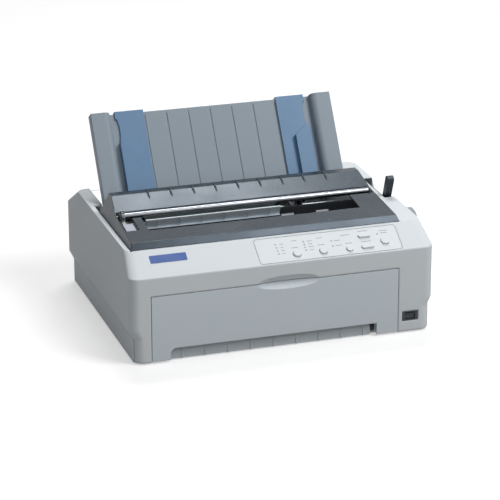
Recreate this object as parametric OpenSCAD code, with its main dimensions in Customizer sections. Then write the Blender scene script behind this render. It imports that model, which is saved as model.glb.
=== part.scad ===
// Narrow-carriage dot matrix printer: case, covers, paper path, print mechanism and tractors.
// X runs across the printer, front is -Y, Z is up. Sizes in millimetres.

/* [Case] */
// Width of the case
case_w = 410; // [390:1:440]
// Depth of the case
case_d = 333; // [325:1:350]
// Height of the flat top rim
top_h = 141; // [140:0.5:146]
// Height of the crease that runs round the case
crease_h = 116; // [112:0.5:120]
// Height of the lower case, where the upper case begins
skirt_h = 34; // [32:0.5:36]
// Height over which the sides taper in to the lower case
skirt_taper = 11; // [8:0.5:14]
// How far the lower case is set in at the sides and rear
skirt_inset = 5; // [3:0.5:7]
// Depth of the sloped strip at the front, seen from above
slope_run = 38.5; // [37:0.5:42]
// How far the sides lean in above the crease
side_lean = 5.4; // [4:0.2:7]
// Wall of the case
wall = 2.5; // [2:0.1:3]
// Radius of the upright corners
corner_r = 13; // [10:1:16]
// Height of the rubber feet below the case
foot_h = 2.5; // [2:0.5:4]

/* [Paper path] */
// Width of the case's shoulder left of the printer cover
left_shoulder = 12; // [10:1:16]
// Width of the case's shoulder right of the printer cover
right_shoulder = 34; // [33:1:38]
// How much narrower the rear opening is than the cover's bay, at each side
rear_step = 11.5; // [10:0.5:13]
// Height of the sill of the rear opening
rear_sill = 99; // [95:1:102]
// Spacing of the paper ribs
rib_pitch = 30.7; // [28:0.1:31.5]

/* [Printer cover] */
// Height of the cover's front edge above the rim
cover_front_h = 7.5; // [6:0.5:9]
// Height of the cover's ridge above the rim
cover_ridge_h = 30; // [28:0.5:31]
// Wall of the cover
cover_wall = 2.2; // [2:0.1:2.6]
// Slope of the cover's sides, in degrees from upright
cover_draft = 18; // [16:1:19]
// Angle that the cover opens through
cover_open = 0; // [0:1:45]

/* [Front cover] */
// Height of the front cover's top seam
front_seam_h = 91.5; // [88:0.5:94]
// Width of the case left of the front cover
left_leg_w = 27; // [24:1:30]
// Width of the case right of the front cover
right_leg_w = 49; // [48:1:53]
// Width of the front cover's own leg left of the notch
notch_inset_left = 25.5; // [24:0.5:28]
// Width of the front cover's own leg right of the notch
notch_inset_right = 30; // [28:0.5:33]
// Height of the notch
notch_h = 18.5; // [16:0.5:20]
// Width of the finger grip
grip_w = 84; // [70:1:90]
// Depth of the finger grip
grip_depth = 5; // [4:0.5:5.5]

/* [Platen] */
// Diameter of the platen
platen_d = 28; // [26:0.5:29]
// Length of each bare end of the platen shaft, inside the paper bay
platen_inset = 34; // [32:1:42]
// Diameter of the platen shaft
platen_shaft_d = 9; // [8:0.5:10]
// Diameter of the knob
knob_d = 36; // [32:1:38]
// Distance that the knob stands out of the case
knob_reach = 17; // [15:0.5:20]

/* [Tension roller] */
// Diameter of the chrome tension roller
roller_d = 8; // [7:0.5:8.5]

/* [Paper guide] */
// Play between the paper guide and each shoulder
guide_play = 1.5; // [1:0.1:3]
// Length of the paper guide from its pivot line to its top
guide_l = 132; // [126:1:134]
// Lean of the paper guide, in degrees from upright
guide_lean = 32.7; // [31:0.1:35]
// Depth of the raised wings at its sides
wing_depth = 16; // [14:0.5:17]
// Width of each wing
wing_w = 27; // [25:1:29]
// Width of each blue edge guide
edge_w = 40; // [36:1:41]
// Distance of the edge guides' inner edges from the middle of the paper path
edge_inner = 94; // [91:1:95]

/* [Carriage] */
// Diameter of the carriage shaft
rail_d = 10; // [9:0.5:10.5]
// Where the carriage stands along the platen
carriage_x = 61; // [20:1:66]
// Width of the carriage
carriage_w = 62; // [56:1:64]
// Pitch diameter of the belt pulleys
pulley_d = 16; // [14:0.5:17]

/* [Tractors] */
// Distance of each tractor from the middle of the paper path
tractor_x = 112; // [90:1:116]
// Width of each tractor
tractor_w = 20; // [18:1:22]
// Diameter of the tractor drive shaft
tractor_shaft_d = 8; // [7:0.5:9]

/* [Gears] */
// Tooth size: pitch diameter divided by the number of teeth
gear_module = 1; // [0.9:0.05:1]
// Width of the feed gears
gear_w = 6; // [5:0.5:6.5]

/* [Clearances] */
// Gap between covers and the case round them
seam = 0.8; // [0.6:0.1:1]
// Gap between separate moving pieces
gap = 0.3; // [0.3:0.05:0.4]
// Clearance on the radius of a pin in its hole
fit = 0.05; // [0.03:0.01:0.08]

/* [Hidden] */
$fn = 64;

half_w = case_w / 2;
front_y = -case_d / 2;
rear_y = case_d / 2;
slope_h = top_h - crease_h;
slope_len = sqrt(slope_run * slope_run + slope_h * slope_h);
slope_angle = atan2(slope_h, slope_run);
bay_front_y = front_y + slope_run;
bay_left = -half_w + left_shoulder;
bay_right = half_w - right_shoulder;
bay_w = bay_right - bay_left;
path_x = (bay_left + bay_right) / 2;
rear_w = bay_w - 2 * rear_step;
rear_left = path_x - rear_w / 2;
rear_right = path_x + rear_w / 2;
guide_w = rear_w - 2 * guide_play;
platen_l = bay_w - 2 * platen_inset;
front_left = -half_w + left_leg_w;
front_right = half_w - right_leg_w;
notch_left = front_left + notch_inset_left;
notch_right = front_right - notch_inset_right;

// Printer cover profile: front edge, window, ribbed slope and ridge
cover_hinge_y = 26;
cover_hinge_z = top_h - 7;
cover_pin_d = 4;
slope_foot_y = -31;
slope_top_y = 3;
ridge_back_y = 16;
cover_back_y = 30.5;
slope_foot_h = 16;
cover_half = bay_w / 2 - seam;
window_left = bay_left + 36;
window_right = bay_right - 41;
window_front_y = -88;
window_back_y = -47;

// Shaft centres, as [y, z]
platen_c = [-50, 111];
roller_c = [-37.6, top_h + 15];
rail_c = [-101, 84];
tractor_c = [106, 90];
support_c = [138, 90];
release_c = [-14, 88];
pinion_c = [-62, 63];
lever_x = half_w - 16.5;
lever_w = 9;

// Side frames, inside the ends of the paper path
frame_t = 2;
frame_out = bay_w / 2 - 6;
frame_left = path_x - frame_out;
frame_right = path_x + frame_out;
frame_foot_z = 14;
floor_z = foot_h + wall;

// Gears: teeth on each wheel and the play between two wheels
gear_play = 0.2;
platen_teeth = 40;
feed_idler_teeth = 24;
pinion_teeth = 14;
train_teeth = 62;
tractor_teeth = 40;
inner_teeth = 34;
tension_idler_teeth = 22;
roller_teeth = 16;
gear_x = frame_left - 1.5 - gear_w;
plate_x = bay_w / 2 - 9.5;
inner_gear_x = path_x - plate_x + 1.6 + gap;

function gear_r(teeth) = teeth * gear_module / 2;
function mesh(t1, t2) = gear_r(t1) + gear_r(t2) + gear_play;
// Third corner of a triangle with sides r1 from p and r2 from q, on the chosen side of the line pq
function third(p, q, r1, r2, side) =
    let (d = norm(q - p), a = (r1 * r1 - r2 * r2 + d * d) / (2 * d), h = sqrt(r1 * r1 - a * a))
    p + (q - p) * a / d + side * h * [-(q - p)[1], (q - p)[0]] / d;
function bearing(p, q) = atan2(q[1] - p[1], q[0] - p[0]);
// Turn of a gear at q so that its gap meets the tooth of the gear at p, which is turned by a1
function phase(p, q, t1, t2, a1) = bearing(p, q) + 180 + 180 / t2 + (bearing(p, q) - a1) * t1 / t2;

feed_idler_c = third(platen_c, pinion_c, mesh(platen_teeth, feed_idler_teeth),
    mesh(feed_idler_teeth, pinion_teeth), -1);
train_rear_c = tractor_c + mesh(train_teeth, tractor_teeth) * [cos(185), sin(185)];
train_front_c = third(platen_c, train_rear_c, mesh(platen_teeth, train_teeth),
    mesh(train_teeth, train_teeth), -1);
tension_idler_c = third(platen_c, roller_c, mesh(inner_teeth, tension_idler_teeth),
    mesh(tension_idler_teeth, roller_teeth), 1);
feed_idler_turn = phase(platen_c, feed_idler_c, platen_teeth, feed_idler_teeth, 0);
pinion_turn = phase(feed_idler_c, pinion_c, feed_idler_teeth, pinion_teeth, feed_idler_turn);
train_front_turn = phase(platen_c, train_front_c, platen_teeth, train_teeth, 0);
train_rear_turn = phase(train_front_c, train_rear_c, train_teeth, train_teeth, train_front_turn);
tractor_turn = phase(train_rear_c, tractor_c, train_teeth, tractor_teeth, train_rear_turn);
tension_idler_turn = phase(platen_c, tension_idler_c, inner_teeth, tension_idler_teeth, 0);
roller_turn = phase(tension_idler_c, roller_c, tension_idler_teeth, roller_teeth, tension_idler_turn);

// Colours
case_grey = [0.84, 0.87, 0.88];
guide_grey = [0.53, 0.58, 0.61];
smoke = [0.27, 0.31, 0.35];
blue = [0.38, 0.57, 0.74];
steel = [0.68, 0.70, 0.72];
dark = [0.16, 0.18, 0.2];
chrome = [0.86, 0.87, 0.89];
nylon = [0.88, 0.87, 0.82];

// ---- Shared shapes ----

// Box from one corner to the opposite one
module block(a, b) {
    translate(a)
        cube(b - a);
}

// Plate of thickness t whose outline is drawn as (y, z), starting at x
module across(x, t) {
    translate([x, 0, 0])
        rotate([90, 0, 90])
            linear_extrude(t)
                children();
}

// Plate of thickness t whose outline is drawn as (x, z), starting at y
module facing(y, t) {
    translate([0, y + t, 0])
        rotate([90, 0, 0])
            linear_extrude(t)
                children();
}

// Round bar along X between x1 and x2 at centre c
module bar(x1, x2, c, d) {
    translate([x1, c[0], c[1]])
        rotate([0, 90, 0])
            cylinder(h = x2 - x1, d = d);
}

// Rectangle with rounded corners, centred
module rounded(w, d, r) {
    square([w - 2 * r, d], center = true);
    square([w, d - 2 * r], center = true);
    for (sx = [-1, 1], sy = [-1, 1])
        translate([sx * (w / 2 - r), sy * (d / 2 - r)])
            circle(r);
}

// Spur gear along X, its first tooth at angle turn in the (y, z) plane
module gear(x, c, teeth, width, bore, turn) {
    r = gear_r(teeth);
    tip = r + 0.8 * gear_module;
    root = r - 1.1 * gear_module;
    step = 360 / teeth;
    across(x, width)
        translate(c)
            rotate(turn)
                difference() {
                    polygon([for (i = [0:teeth - 1]) for (p = [[root, -0.32], [tip, -0.11], [tip, 0.11],
                        [root, 0.32]]) p[0] * [cos((i + p[1]) * step), sin((i + p[1]) * step)]]);
                    circle(d = bore);
                }
}

// Everything is moved left by half the knob's reach, so the origin is mid width
module placed() {
    translate([-knob_reach / 2, 0, 0])
        children();
}

// ---- Case ----

// The case's outer form, inset by t: skirt taper, upright walls and sloped top
module case_form(t) {
    r = corner_r - t;
    waist = skirt_h + skirt_taper;
    w = case_w - 2 * t;
    d = case_d - 2 * t;
    hull() {
        translate([0, -skirt_inset / 2, skirt_h])
            linear_extrude(0.1)
                rounded(w - 2 * skirt_inset, d - skirt_inset, r, $fn = 32);
        translate([0, 0, waist - 0.1])
            linear_extrude(0.1)
                rounded(w, d, r, $fn = 32);
    }
    translate([0, 0, waist])
        linear_extrude(crease_h - waist)
            rounded(w, d, r);
    hull() {
        translate([0, 0, crease_h - 0.1])
            linear_extrude(0.1)
                rounded(w, d, r, $fn = 32);
        translate([0, 0, top_h - t - 0.1])
            linear_extrude(0.1)
                rounded(w - 2 * side_lean, d - 2 * slope_run, r, $fn = 32);
    }
}

// Disc with a round rim that cuts the finger grip: a lens in the front face, across the seam
module grip_cutter() {
    r = (grip_w * grip_w / 4 - grip_depth * grip_depth) / (2 * grip_depth);
    translate([grip_x, front_y - r, front_seam_h - 1])
        rotate_extrude($fn = 128)
            translate([r + grip_depth - 10, 0])
                circle(10, $fn = 32);
}

// Lower case: a tray, set in at the sides and rear, with bosses for the frames and the board
module lower_case() {
    w = case_w - 2 * skirt_inset;
    y0 = front_y + leg_d + gap;
    y1 = rear_y - skirt_inset;
    color(case_grey)
        difference() {
            union() {
                difference() {
                    tray(w, y0, y1, foot_h, skirt_h - gap, corner_r);
                    tray(w - 2 * wall, y0 + wall, y1 - wall, floor_z, skirt_h + 1, corner_r - wall);
                }
                for (x = [frame_left - 4, frame_right - 10], y = frame_foot_y)
                    block([x, y - 7, floor_z - 0.5], [x + 14, y + 7, frame_foot_z]);
                for (p = board_posts)
                    translate([p[0], p[1], floor_z - 0.5])
                        cylinder(h = board_z - floor_z + 0.5, d = 7);
                for (x = [transformer_x - 18, transformer_x + 18])
                    block([x - 5, 86, floor_z - 0.5], [x + 5, 112, power_z]);
                // stiffening ribs across the floor
                for (y = [-90, -40])
                    block([-120, y, floor_z - 0.5], [140, y + 2, floor_z + 4]);
            }
            // mouth for the front paper guide
            block([notch_left - gap, y0 - 1, floor_z], [notch_right + gap, y0 + wall + 1, skirt_h]);
            // room for the power switch
            block([switch_x - 13.5, y0 - 1, switch_z - 9], [switch_x + 13.5, y0 + wall + 1, skirt_h]);
            // openings for the inlet and the sockets
            block([inlet_x - inlet_w / 2 - 0.2, y1 - wall - 1, inlet_z - inlet_h / 2 - 0.2],
                [inlet_x + inlet_w / 2 + 0.2, y1 + 1, inlet_z + inlet_h / 2 + 0.2]);
            block([parallel_x - 27.3, y1 - wall - 1, board_z + 1.2],
                [parallel_x + 27.3, y1 + 1, socket_z + 7.3]);
            block([usb_x - 6.3, y1 - wall - 1, board_z + 1.2], [usb_x + 6.3, y1 + 1, socket_z + 6.8]);
            // floor vents
            for (i = [0:9])
                block([-60 + i * 12, -76, foot_h - 1], [-56 + i * 12, -44, floor_z + 1]);
        }
}

// Tray block with a square front and rounded rear corners
module tray(w, y0, y1, z0, z1, r) {
    translate([0, 0, z0])
        linear_extrude(z1 - z0)
            union() {
                translate([-w / 2, y0])
                    square([w, y1 - r - y0]);
                translate([-w / 2 + r, y0])
                    square([w - 2 * r, y1 - y0]);
                for (sx = [-1, 1])
                    translate([sx * (w / 2 - r), y1 - r])
                        circle(r);
            }
}
leg_d = 8;
frame_foot_y = [front_y + 55, 0, rear_y - 55];
board_z = 12;
board_posts = [[-100, 20], [130, 20], [-100, 138], [130, 138]];
power_z = 12;
transformer_x = -146;
inlet_x = -148;
inlet_z = 21;
inlet_w = 27;
inlet_h = 20;
parallel_x = 78;
usb_x = 128;
socket_z = 20;

// Upper case: the shell above the lower case, with the legs beside the front cover, the cover bay,
// the rear opening, the lever slot and the knob hole
module upper_case() {
    rim_z = top_h - wall;
    leg_w = case_w - 2 * skirt_inset;
    leg_y = -skirt_inset / 2;
    color(case_grey)
        difference() {
            union() {
                difference() {
                    case_form(0);
                    case_form(wall);
                    translate([0, leg_y, skirt_h - 1])
                        linear_extrude(1.5)
                            rounded(leg_w - 2 * wall, case_d - skirt_inset - 2 * wall, corner_r - wall);
                }
                // front wall below the skirt, left and right of the front cover
                translate([0, 0, foot_h])
                    linear_extrude(skirt_h - foot_h + 0.05)
                        intersection() {
                            difference() {
                                translate([0, leg_y])
                                    rounded(leg_w, case_d - skirt_inset, corner_r);
                                translate([0, leg_y])
                                    rounded(leg_w - 2 * wall, case_d - skirt_inset - 2 * wall,
                                        corner_r - wall);
                            }
                            translate([-half_w, front_y])
                                square([case_w, leg_d]);
                        }
                // ears for the front cover's pins, inside the legs
                for (x = [front_left - 3.3, front_right + 0.3])
                    across(x, 3)
                        difference() {
                            translate([front_y + wall - 0.2, foot_h + 0.5])
                                square([leg_d - wall, 8]);
                            translate(front_pin_c)
                                circle(d = front_pin_d + 2 * fit, $fn = 32);
                        }
                // ledge that the cover's front edge rests on
                block([bay_left + 6, bay_front_y - 1.5, rim_z - 4],
                    [bay_right - 6, bay_front_y + 5, cover_lip_z - gap]);
                // thicker wall round the finger grip
                intersection() {
                    block([grip_x - grip_w / 2 - 6, front_y + 1, front_seam_h],
                        [grip_x + grip_w / 2 + 6, front_y + leg_d, front_seam_h + 14]);
                    case_form(1);
                }
                // ears for the cover's and the paper guide's pins
                for (x = [bay_left - 3.5, bay_right + 0.5])
                    across(x, 3)
                        difference() {
                            union() {
                                translate([cover_hinge_y - 7, cover_hinge_z])
                                    square([14, rim_z - cover_hinge_z + 0.5]);
                                translate([cover_hinge_y, cover_hinge_z])
                                    circle(7);
                            }
                            translate([cover_hinge_y, cover_hinge_z])
                                circle(d = cover_pin_d + 2 * fit);
                        }
                for (x = [rear_left - 3.5, rear_right + 0.5])
                    across(x, 3)
                        difference() {
                            union() {
                                translate([guide_pivot[0], guide_pivot[1] - 7])
                                    square([30, rim_z - guide_pivot[1] + 7.5]);
                                translate(guide_pivot)
                                    circle(7);
                            }
                            translate(guide_pivot)
                                circle(d = guide_pin_d + 2 * fit);
                        }
                // stiffening ribs inside the side walls
                for (sx = [-1, 1], y = [-110, 0, 100])
                    block([sx * (half_w - wall - 1.75) - 2.25, y, skirt_h + skirt_taper + 3],
                        [sx * (half_w - wall - 1.75) + 2.25, y + 2, crease_h]);
            }
            // cover bay and rear opening
            block([bay_left, bay_front_y, rim_z - 1.9], [bay_right, shoulder_y, top_h + 1]);
            block([rear_left, shoulder_y - 1, rim_z - 1], [rear_right, rear_y - slope_run + 1, top_h + 1]);
            block([rear_left, rear_y - slope_run, rear_sill], [rear_right, rear_y + 1, top_h + 1]);
            // front cover opening
            block([front_left, front_y - 1, 0], [front_right, front_y + leg_d + 1, front_seam_h]);
            grip_cutter();
            // control panel seat and its buttons
            on_slope() {
                translate([panel_x, slope_len / 2 + panel_dy, -panel_t])
                    linear_extrude(5)
                        rounded(panel_w, panel_l, 4);
                translate([0, 0, -8])
                    linear_extrude(8)
                        for (i = [0:5])
                            button_outline(i, 0.9);
            }
            // lever slot, knob hole and switch hole
            block([lever_slot[0], lever_slot[1], lever_floor], [half_w + 1, lever_slot[2], top_h + 1]);
            bar(half_w - 10, half_w + 1, platen_c, platen_shaft_d + 6);
            block([switch_x - 11.3, front_y - 1, switch_z - 6.8],
                [switch_x + 11.3, front_y + 4, switch_z + 6.8]);
        }
}
shoulder_y = 58;
cover_lip_z = top_h - 2;
lever_slot = [lever_x - 3, -32, 52];
lever_floor = top_h - 14.5;
grip_x = 5;
switch_x = half_w - 32.5;
switch_z = 23.2;
guide_pivot = [50, top_h - 6];
guide_pin_d = 5;

// Frame on the sloped strip: origin at the crease, Y up the slope, Z out of it
module on_slope() {
    translate([0, front_y, crease_h])
        rotate([slope_angle, 0, 0])
            children();
}

// Control panel sheet and its buttons: [x from the panel's middle, distance up the slope,
// diameter or bar's width, 1 for a bar]
panel_w = 193;
panel_l = 39.5;
panel_x = half_w - 140.3;
panel_dy = -0.7;
panel_t = 1.2;
buttons = [[-44.9, 13.2, 11, 0], [-9.1, 12.9, 11, 0], [26.1, 11.5, 9, 0], [76.3, 17.8, 11.5, 0],
    [50.9, 29.4, 6, 1], [50.9, 11.8, 6, 1]];
bar_l = 17;
button_rise = 2.2;
button_travel = 1;

// Outline of button i, grown by g
module button_outline(i, g) {
    b = buttons[i];
    translate([panel_x + b[0], b[1]])
        if (b[3] == 1)
            rounded(bar_l + 2 * g, b[2] + 2 * g, b[2] / 2 + g - 0.01);
        else
            circle(d = b[2] + 2 * g);
}

module control_panel() {
    color([0.87, 0.9, 0.91])
        on_slope()
            translate([0, 0, -panel_t])
                linear_extrude(panel_t + 0.1)
                    difference() {
                        translate([panel_x, slope_len / 2 + panel_dy])
                            rounded(panel_w - 2 * gap, panel_l - 2 * gap, 4 - gap);
                        for (i = [0:5])
                            button_outline(i, gap);
                        for (l = lamps)
                            translate(l)
                                circle(d = lamp_d, $fn = 24);
                    }
}
lamp_d = 2.4;
lamps = concat([for (i = [0:3]) [panel_x - 69.7 + i * 0.3, 30.7 - i * 4.9]],
    [for (i = [0:3]) [panel_x - 31.7, 31 - i * 4.6]],
    [[panel_x + 5.3, 27], [panel_x + 5.3, 19], [panel_x + 69.3, 30]]);

// Button i: a cap with a rounded top on a flanged stem
module button(i) {
    b = buttons[i];
    color([0.9, 0.92, 0.93])
        on_slope() {
            translate([0, 0, -panel_t - 1.6])
                linear_extrude(panel_t + 1.6 + button_rise - 0.6)
                    button_outline(i, 0);
            translate([0, 0, button_rise - 0.6])
                linear_extrude(0.6)
                    button_outline(i, -0.5);
            translate([panel_x + b[0], b[1], -6])
                cylinder(h = 6 - panel_t, d = 3);
        }
}

module status_lamps() {
    color([0.55, 0.8, 0.5])
        on_slope()
            for (l = lamps)
                translate([l[0], l[1], -panel_t])
                    cylinder(h = panel_t + 0.3, d = lamp_d, $fn = 24);
}

// Front cover: a panel with a finger grip, legs beside the notch, side returns and pins at its foot
front_pin_c = [front_y + 4.3, foot_h + 4];
front_pin_d = 3;
module front_cover() {
    l = front_left + seam;
    r = front_right - seam;
    top = front_seam_h - seam;
    color(case_grey)
        difference() {
            union() {
                facing(front_y, wall)
                    difference() {
                        translate([l, foot_h + 0.5])
                            square([r - l, top - foot_h - 0.5]);
                        polygon([[notch_left, 0], [notch_right, 0], [notch_right, notch_h],
                            [notch_left + 5, notch_h], [notch_left, notch_h - 5]]);
                    }
                // returns along the top and the sides, and stiffening ribs
                block([l, front_y + wall - 0.1, top - 2], [r, front_y + 6.6, top]);
                for (x = [l, r - 3])
                    block([x, front_y + wall - 0.1, foot_h + 1.8], [x + 3, front_y + 6.4, top]);
                for (i = [1:7])
                    block([l + (r - l) * i / 8 - 1, front_y + wall - 0.1, notch_h + 6],
                        [l + (r - l) * i / 8 + 1, front_y + 5, top]);
                // thicker wall round the finger grip
                block([grip_x - grip_w / 2 - 6, front_y + 1, front_seam_h - 17],
                    [grip_x + grip_w / 2 + 6, front_y + 7.4, top]);
                bar(l - 3.6, l + 1, front_pin_c, front_pin_d);
                bar(r - 1, r + 3.6, front_pin_c, front_pin_d);
            }
            grip_cutter();
        }
}

// Front paper guide: a set-back ramp with a rib every rib_pitch
module front_paper_guide() {
    l = notch_left + 1;
    r = notch_right - 7;
    y = front_y + 10;
    foot = floor_z + gap;
    color(guide_grey)
        union() {
            across(l, r - l)
                polygon([[y, foot], [y + 2, foot], [y + 5, 16], [y + 33, 31], [y + 33, 33], [y + 3, 18],
                    [y, 12]]);
            for (i = [-4:4])
                across(path_x - 2.5 + i * rib_pitch - 0.7, 1.4)
                    polygon([[y - 1.4, foot], [y + 1, foot], [y + 4, 16.5], [y + 33, 32], [y + 33, 34.5],
                        [y + 1.5, 19], [y - 1.4, 12]]);
            for (x = [l + 20, 0, r - 26])
                block([x, y + 12, floor_z], [x + 6, y + 24, 22]);
        }
}

module power_switch() {
    color(dark)
        union() {
            across(switch_x - 6.6, 13.2)
                polygon([[front_y + 0.2, switch_z + 3.6], [front_y + 2.1, switch_z],
                    [front_y + 1.8, switch_z - 3.6], [front_y + 8.7, switch_z - 3.4],
                    [front_y + 10.2, switch_z], [front_y + 8.7, switch_z + 3.4]]);
            bar(switch_x - 8.4, switch_x + 8.4, [front_y + 6.7, switch_z], switch_pin_d);
        }
}
switch_pin_d = 3;

// Bezel of the power switch: a frame and a housing with an open front
module switch_bezel() {
    color(dark)
        difference() {
            union() {
                block([switch_x - 11, front_y + 0.3, switch_z - 6.5],
                    [switch_x + 11, front_y + 20, switch_z + 6.5]);
                block([switch_x - 13, front_y + wall + 0.1, switch_z - 8.5],
                    [switch_x + 13, front_y + wall + 1.6, switch_z + 8.5]);
                for (x = [-4, 4])
                    block([switch_x + x - 0.5, front_y + 19.5, switch_z - 3],
                        [switch_x + x + 0.5, front_y + 27, switch_z + 3]);
            }
            block([switch_x - 7, front_y - 1, switch_z - 5], [switch_x + 7, front_y + 14, switch_z + 5]);
            bar(switch_x - 8.7, switch_x + 8.7, [front_y + 6.7, switch_z], switch_pin_d + 2 * fit);
        }
}

module feet() {
    color(dark)
        for (sx = [-1, 1], y = [front_y + 28, rear_y - 30])
            translate([sx * (half_w - 34), y, 0])
                cylinder(h = foot_h, d1 = 15, d2 = 17);
}

module screws() {
    color(steel)
        for (x = [frame_left + 8, frame_right - 8], y = frame_foot_y)
            translate([x, y, frame_foot_z + frame_t]) {
                cylinder(h = 2.2, d = 6.5);
                translate([0, 0, 2.2])
                    cylinder(h = 0.8, d1 = 6.5, d2 = 4.5);
            }
}

// ---- Printer cover ----

// The cover's side profile as (y, z), inset by t
module cover_profile(t) {
    front = bay_front_y + seam;
    polygon([[front + t * 1.2, top_h - 4], [front + t * 1.2, top_h],
        [front + 7 + t * 1.1, top_h + cover_front_h - t],
        [slope_foot_y + t * 0.2, top_h + slope_foot_h - t],
            [slope_top_y + t * 0.2, top_h + cover_ridge_h - t],
        [ridge_back_y - t, top_h + cover_ridge_h - t], [cover_back_y - t, top_h],
            [cover_back_y - t, top_h - 4]]);
}

// The cover's drafted sides, inset by t
module cover_ends(t) {
    top = cover_half - cover_ridge_h * tan(cover_draft);
    facing(bay_front_y - 5, cover_back_y - bay_front_y + 10)
        translate([path_x, 0])
            polygon([[-cover_half + t, top_h - 5], [-cover_half + t, top_h],
                [-top + t, top_h + cover_ridge_h + 1],
                [top - t, top_h + cover_ridge_h + 1], [cover_half - t, top_h], [cover_half - t, top_h - 5]]);
}

module printer_cover() {
    color(smoke)
        difference() {
            union() {
                difference() {
                    intersection() {
                        across(bay_left - 5, bay_w + 10)
                            cover_profile(0);
                        cover_ends(0);
                    }
                    intersection() {
                        across(bay_left - 5, bay_w + 10)
                            translate([0, -0.01])
                                cover_profile(cover_wall);
                        cover_ends(cover_wall);
                    }
                    // open underside
                    block([bay_left, bay_front_y - 5, top_h - 10],
                        [bay_right, cover_back_y - cover_wall, cover_lip_z]);
                }
                // hinge tabs and pins
                for (sx = [-1, 1]) {
                    x = path_x + sx * (cover_half - cover_wall / 2) - cover_wall / 2;
                    across(x, cover_wall)
                        union() {
                            translate([cover_hinge_y, cover_hinge_z])
                                circle(4.5);
                            translate([cover_hinge_y - 4.5, cover_hinge_z])
                                square([9, 8]);
                        }
                }
                bar(bay_left - 3, bay_left + seam + 1, [cover_hinge_y, cover_hinge_z], cover_pin_d);
                bar(bay_right - seam - 1, bay_right + 3, [cover_hinge_y, cover_hinge_z], cover_pin_d);
                // paper ribs at the top of the slope
                intersection() {
                    for (i = [-4:4])
                        across(path_x + i * rib_pitch - 0.8, 1.6)
                            polygon([[slope_top_y - 13, top_h + cover_ridge_h - 5.6],
                                [slope_top_y - 1, top_h + cover_ridge_h + 1.4],
                                [slope_top_y + 5, top_h + cover_ridge_h + 1.4],
                                [slope_top_y + 9, top_h + cover_ridge_h - 0.5]]);
                    across(bay_left, bay_w)
                        translate([0, 1.4])
                            cover_profile(0);
                }
            }
            // window, roller slot and the cut-out for the release tab
            block([window_left, window_front_y, top_h - 1], [window_right, slope_foot_y - 1, top_h + 30]);
            block([path_x - plate_x - 1.7, window_back_y, top_h - 1],
                [path_x + plate_x + 1.7, slope_foot_y + 3, top_h + 30]);
            block([tab_x - 9, tab_front_y - 2, top_h - 1], [tab_x + 9, slope_foot_y - 1, top_h + 30]);
            // notch in front of the roller's gear
            block([inner_gear_x - 0.6, window_back_y - 4, top_h - 1],
                [inner_gear_x + gear_w - 1.4, slope_foot_y, top_h + 30]);
        }
}
tab_x = bay_left + 15.5;
tab_front_y = -82;

// ---- Paper tension unit ----

// Frame: two side plates that stand on the side frames, joined by a rear bar
module tension_frame() {
    t = 1.6;
    foot = frame_top + gap;
    color(dark)
        difference() {
            union() {
                for (sx = [-1, 1]) {
                    across(path_x + sx * (plate_x - t / 2) - t / 2, t)
                        polygon([[-72, foot], [-72, foot + 2], [-60, 140], [-46, 150],
                            [-42.5, roller_c[1] + 4],
                            [-34, roller_c[1] + 4], [-34, 152], [-26, 146], [-18, 140], [-12, foot]]);
                    translate([path_x + sx * (plate_x + 1.2) - 2.8, 0, 0]) {
                        block([0, -72, foot], [5.6, -62, foot + 1.5]);
                        block([0, -30, foot], [5.6, -12, foot + 1.5]);
                    }
                }
                across(path_x - plate_x + 0.2, 2 * plate_x - 0.4)
                    polygon([[-24, 128], [-12, 128], [-12, 129.6], [-22.4, 129.6], [-22.4, 140], [-24, 140]]);
                // seat of the release tab
                block([tab_x - 5, -72, foot], [tab_x + 5, -63, foot + 1.5]);
            }
            bar(path_x - plate_x - 1, path_x + plate_x + 1, roller_c, roller_axle_d + 2 * fit);
            bar(path_x - plate_x - 1, path_x - plate_x + 3, tension_idler_c, 3 + 2 * fit);
        }
}
frame_top = 126;
roller_axle_d = 4;

// Exit guide: an overhanging ribbed plate below the roller
module exit_guide() {
    x1 = bay_left + 43;
    x2 = path_x + 45;
    color(guide_grey)
        union() {
            across(path_x - plate_x + 1.6, x2 - path_x + plate_x - 1.6)
                polygon([[-25.6, 130], [-24, 130], [-24, 140], [-25.6, 140]]);
            across(x1, x2 - x1)
                polygon([[-25, 136.6], [-44, 136.6], [-44, 137.8], [-41.2, 137.8], [-47.4, 150.2],
                    [-46, 151], [-39.6, 138.4], [-25, 138.4]]);
            for (i = [-4:1])
                across(path_x + i * rib_pitch - 0.6, 1.2)
                    polygon([[-41, 137], [-42.4, 137.5], [-48.4, 149.8], [-47.6, 150.9], [-45.9, 150.9],
                        [-40, 138]]);
        }
}

// Release tab of the tension unit, seen through the cover
module release_tab() {
    color([0.72, 0.74, 0.78])
        difference() {
            across(tab_x - 6.5, 13)
                polygon([[tab_front_y, top_h + 5], [tab_front_y + 1, top_h + 8], [-58, top_h + 11],
                    [-57, top_h + 8], [-62, top_h + 5], [-64, frame_top + gap + 1.5],
                        [-70, frame_top + gap + 1.5],
                    [-71, top_h + 3]]);
            translate([tab_x, tab_front_y - 4, top_h])
                cylinder(h = 14, r = 7);
            for (sx = [-1, 1])
                translate([tab_x + sx * 8 - 4, -90, frame_top])
                    cube([8, 40, 16]);
        }
}

module tension_roller() {
    x1 = inner_gear_x + gear_w - 2;
    color(chrome)
        union() {
            bar(x1, path_x + plate_x - 1.6 - gap, roller_c, roller_d);
            bar(path_x - plate_x + 0.5, path_x + plate_x - 0.5, roller_c, roller_axle_d);
            gear(inner_gear_x, roller_c, roller_teeth, gear_w - 2, roller_axle_d - 0.2, roller_turn);
        }
}

module tension_idler_gear() {
    color(nylon)
        union() {
            gear(inner_gear_x, tension_idler_c, tension_idler_teeth, gear_w - 2, 2.8, tension_idler_turn);
            bar(path_x - plate_x, inner_gear_x + gear_w - 2, tension_idler_c, 3);
        }
}

// ---- Paper guide ----

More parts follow.
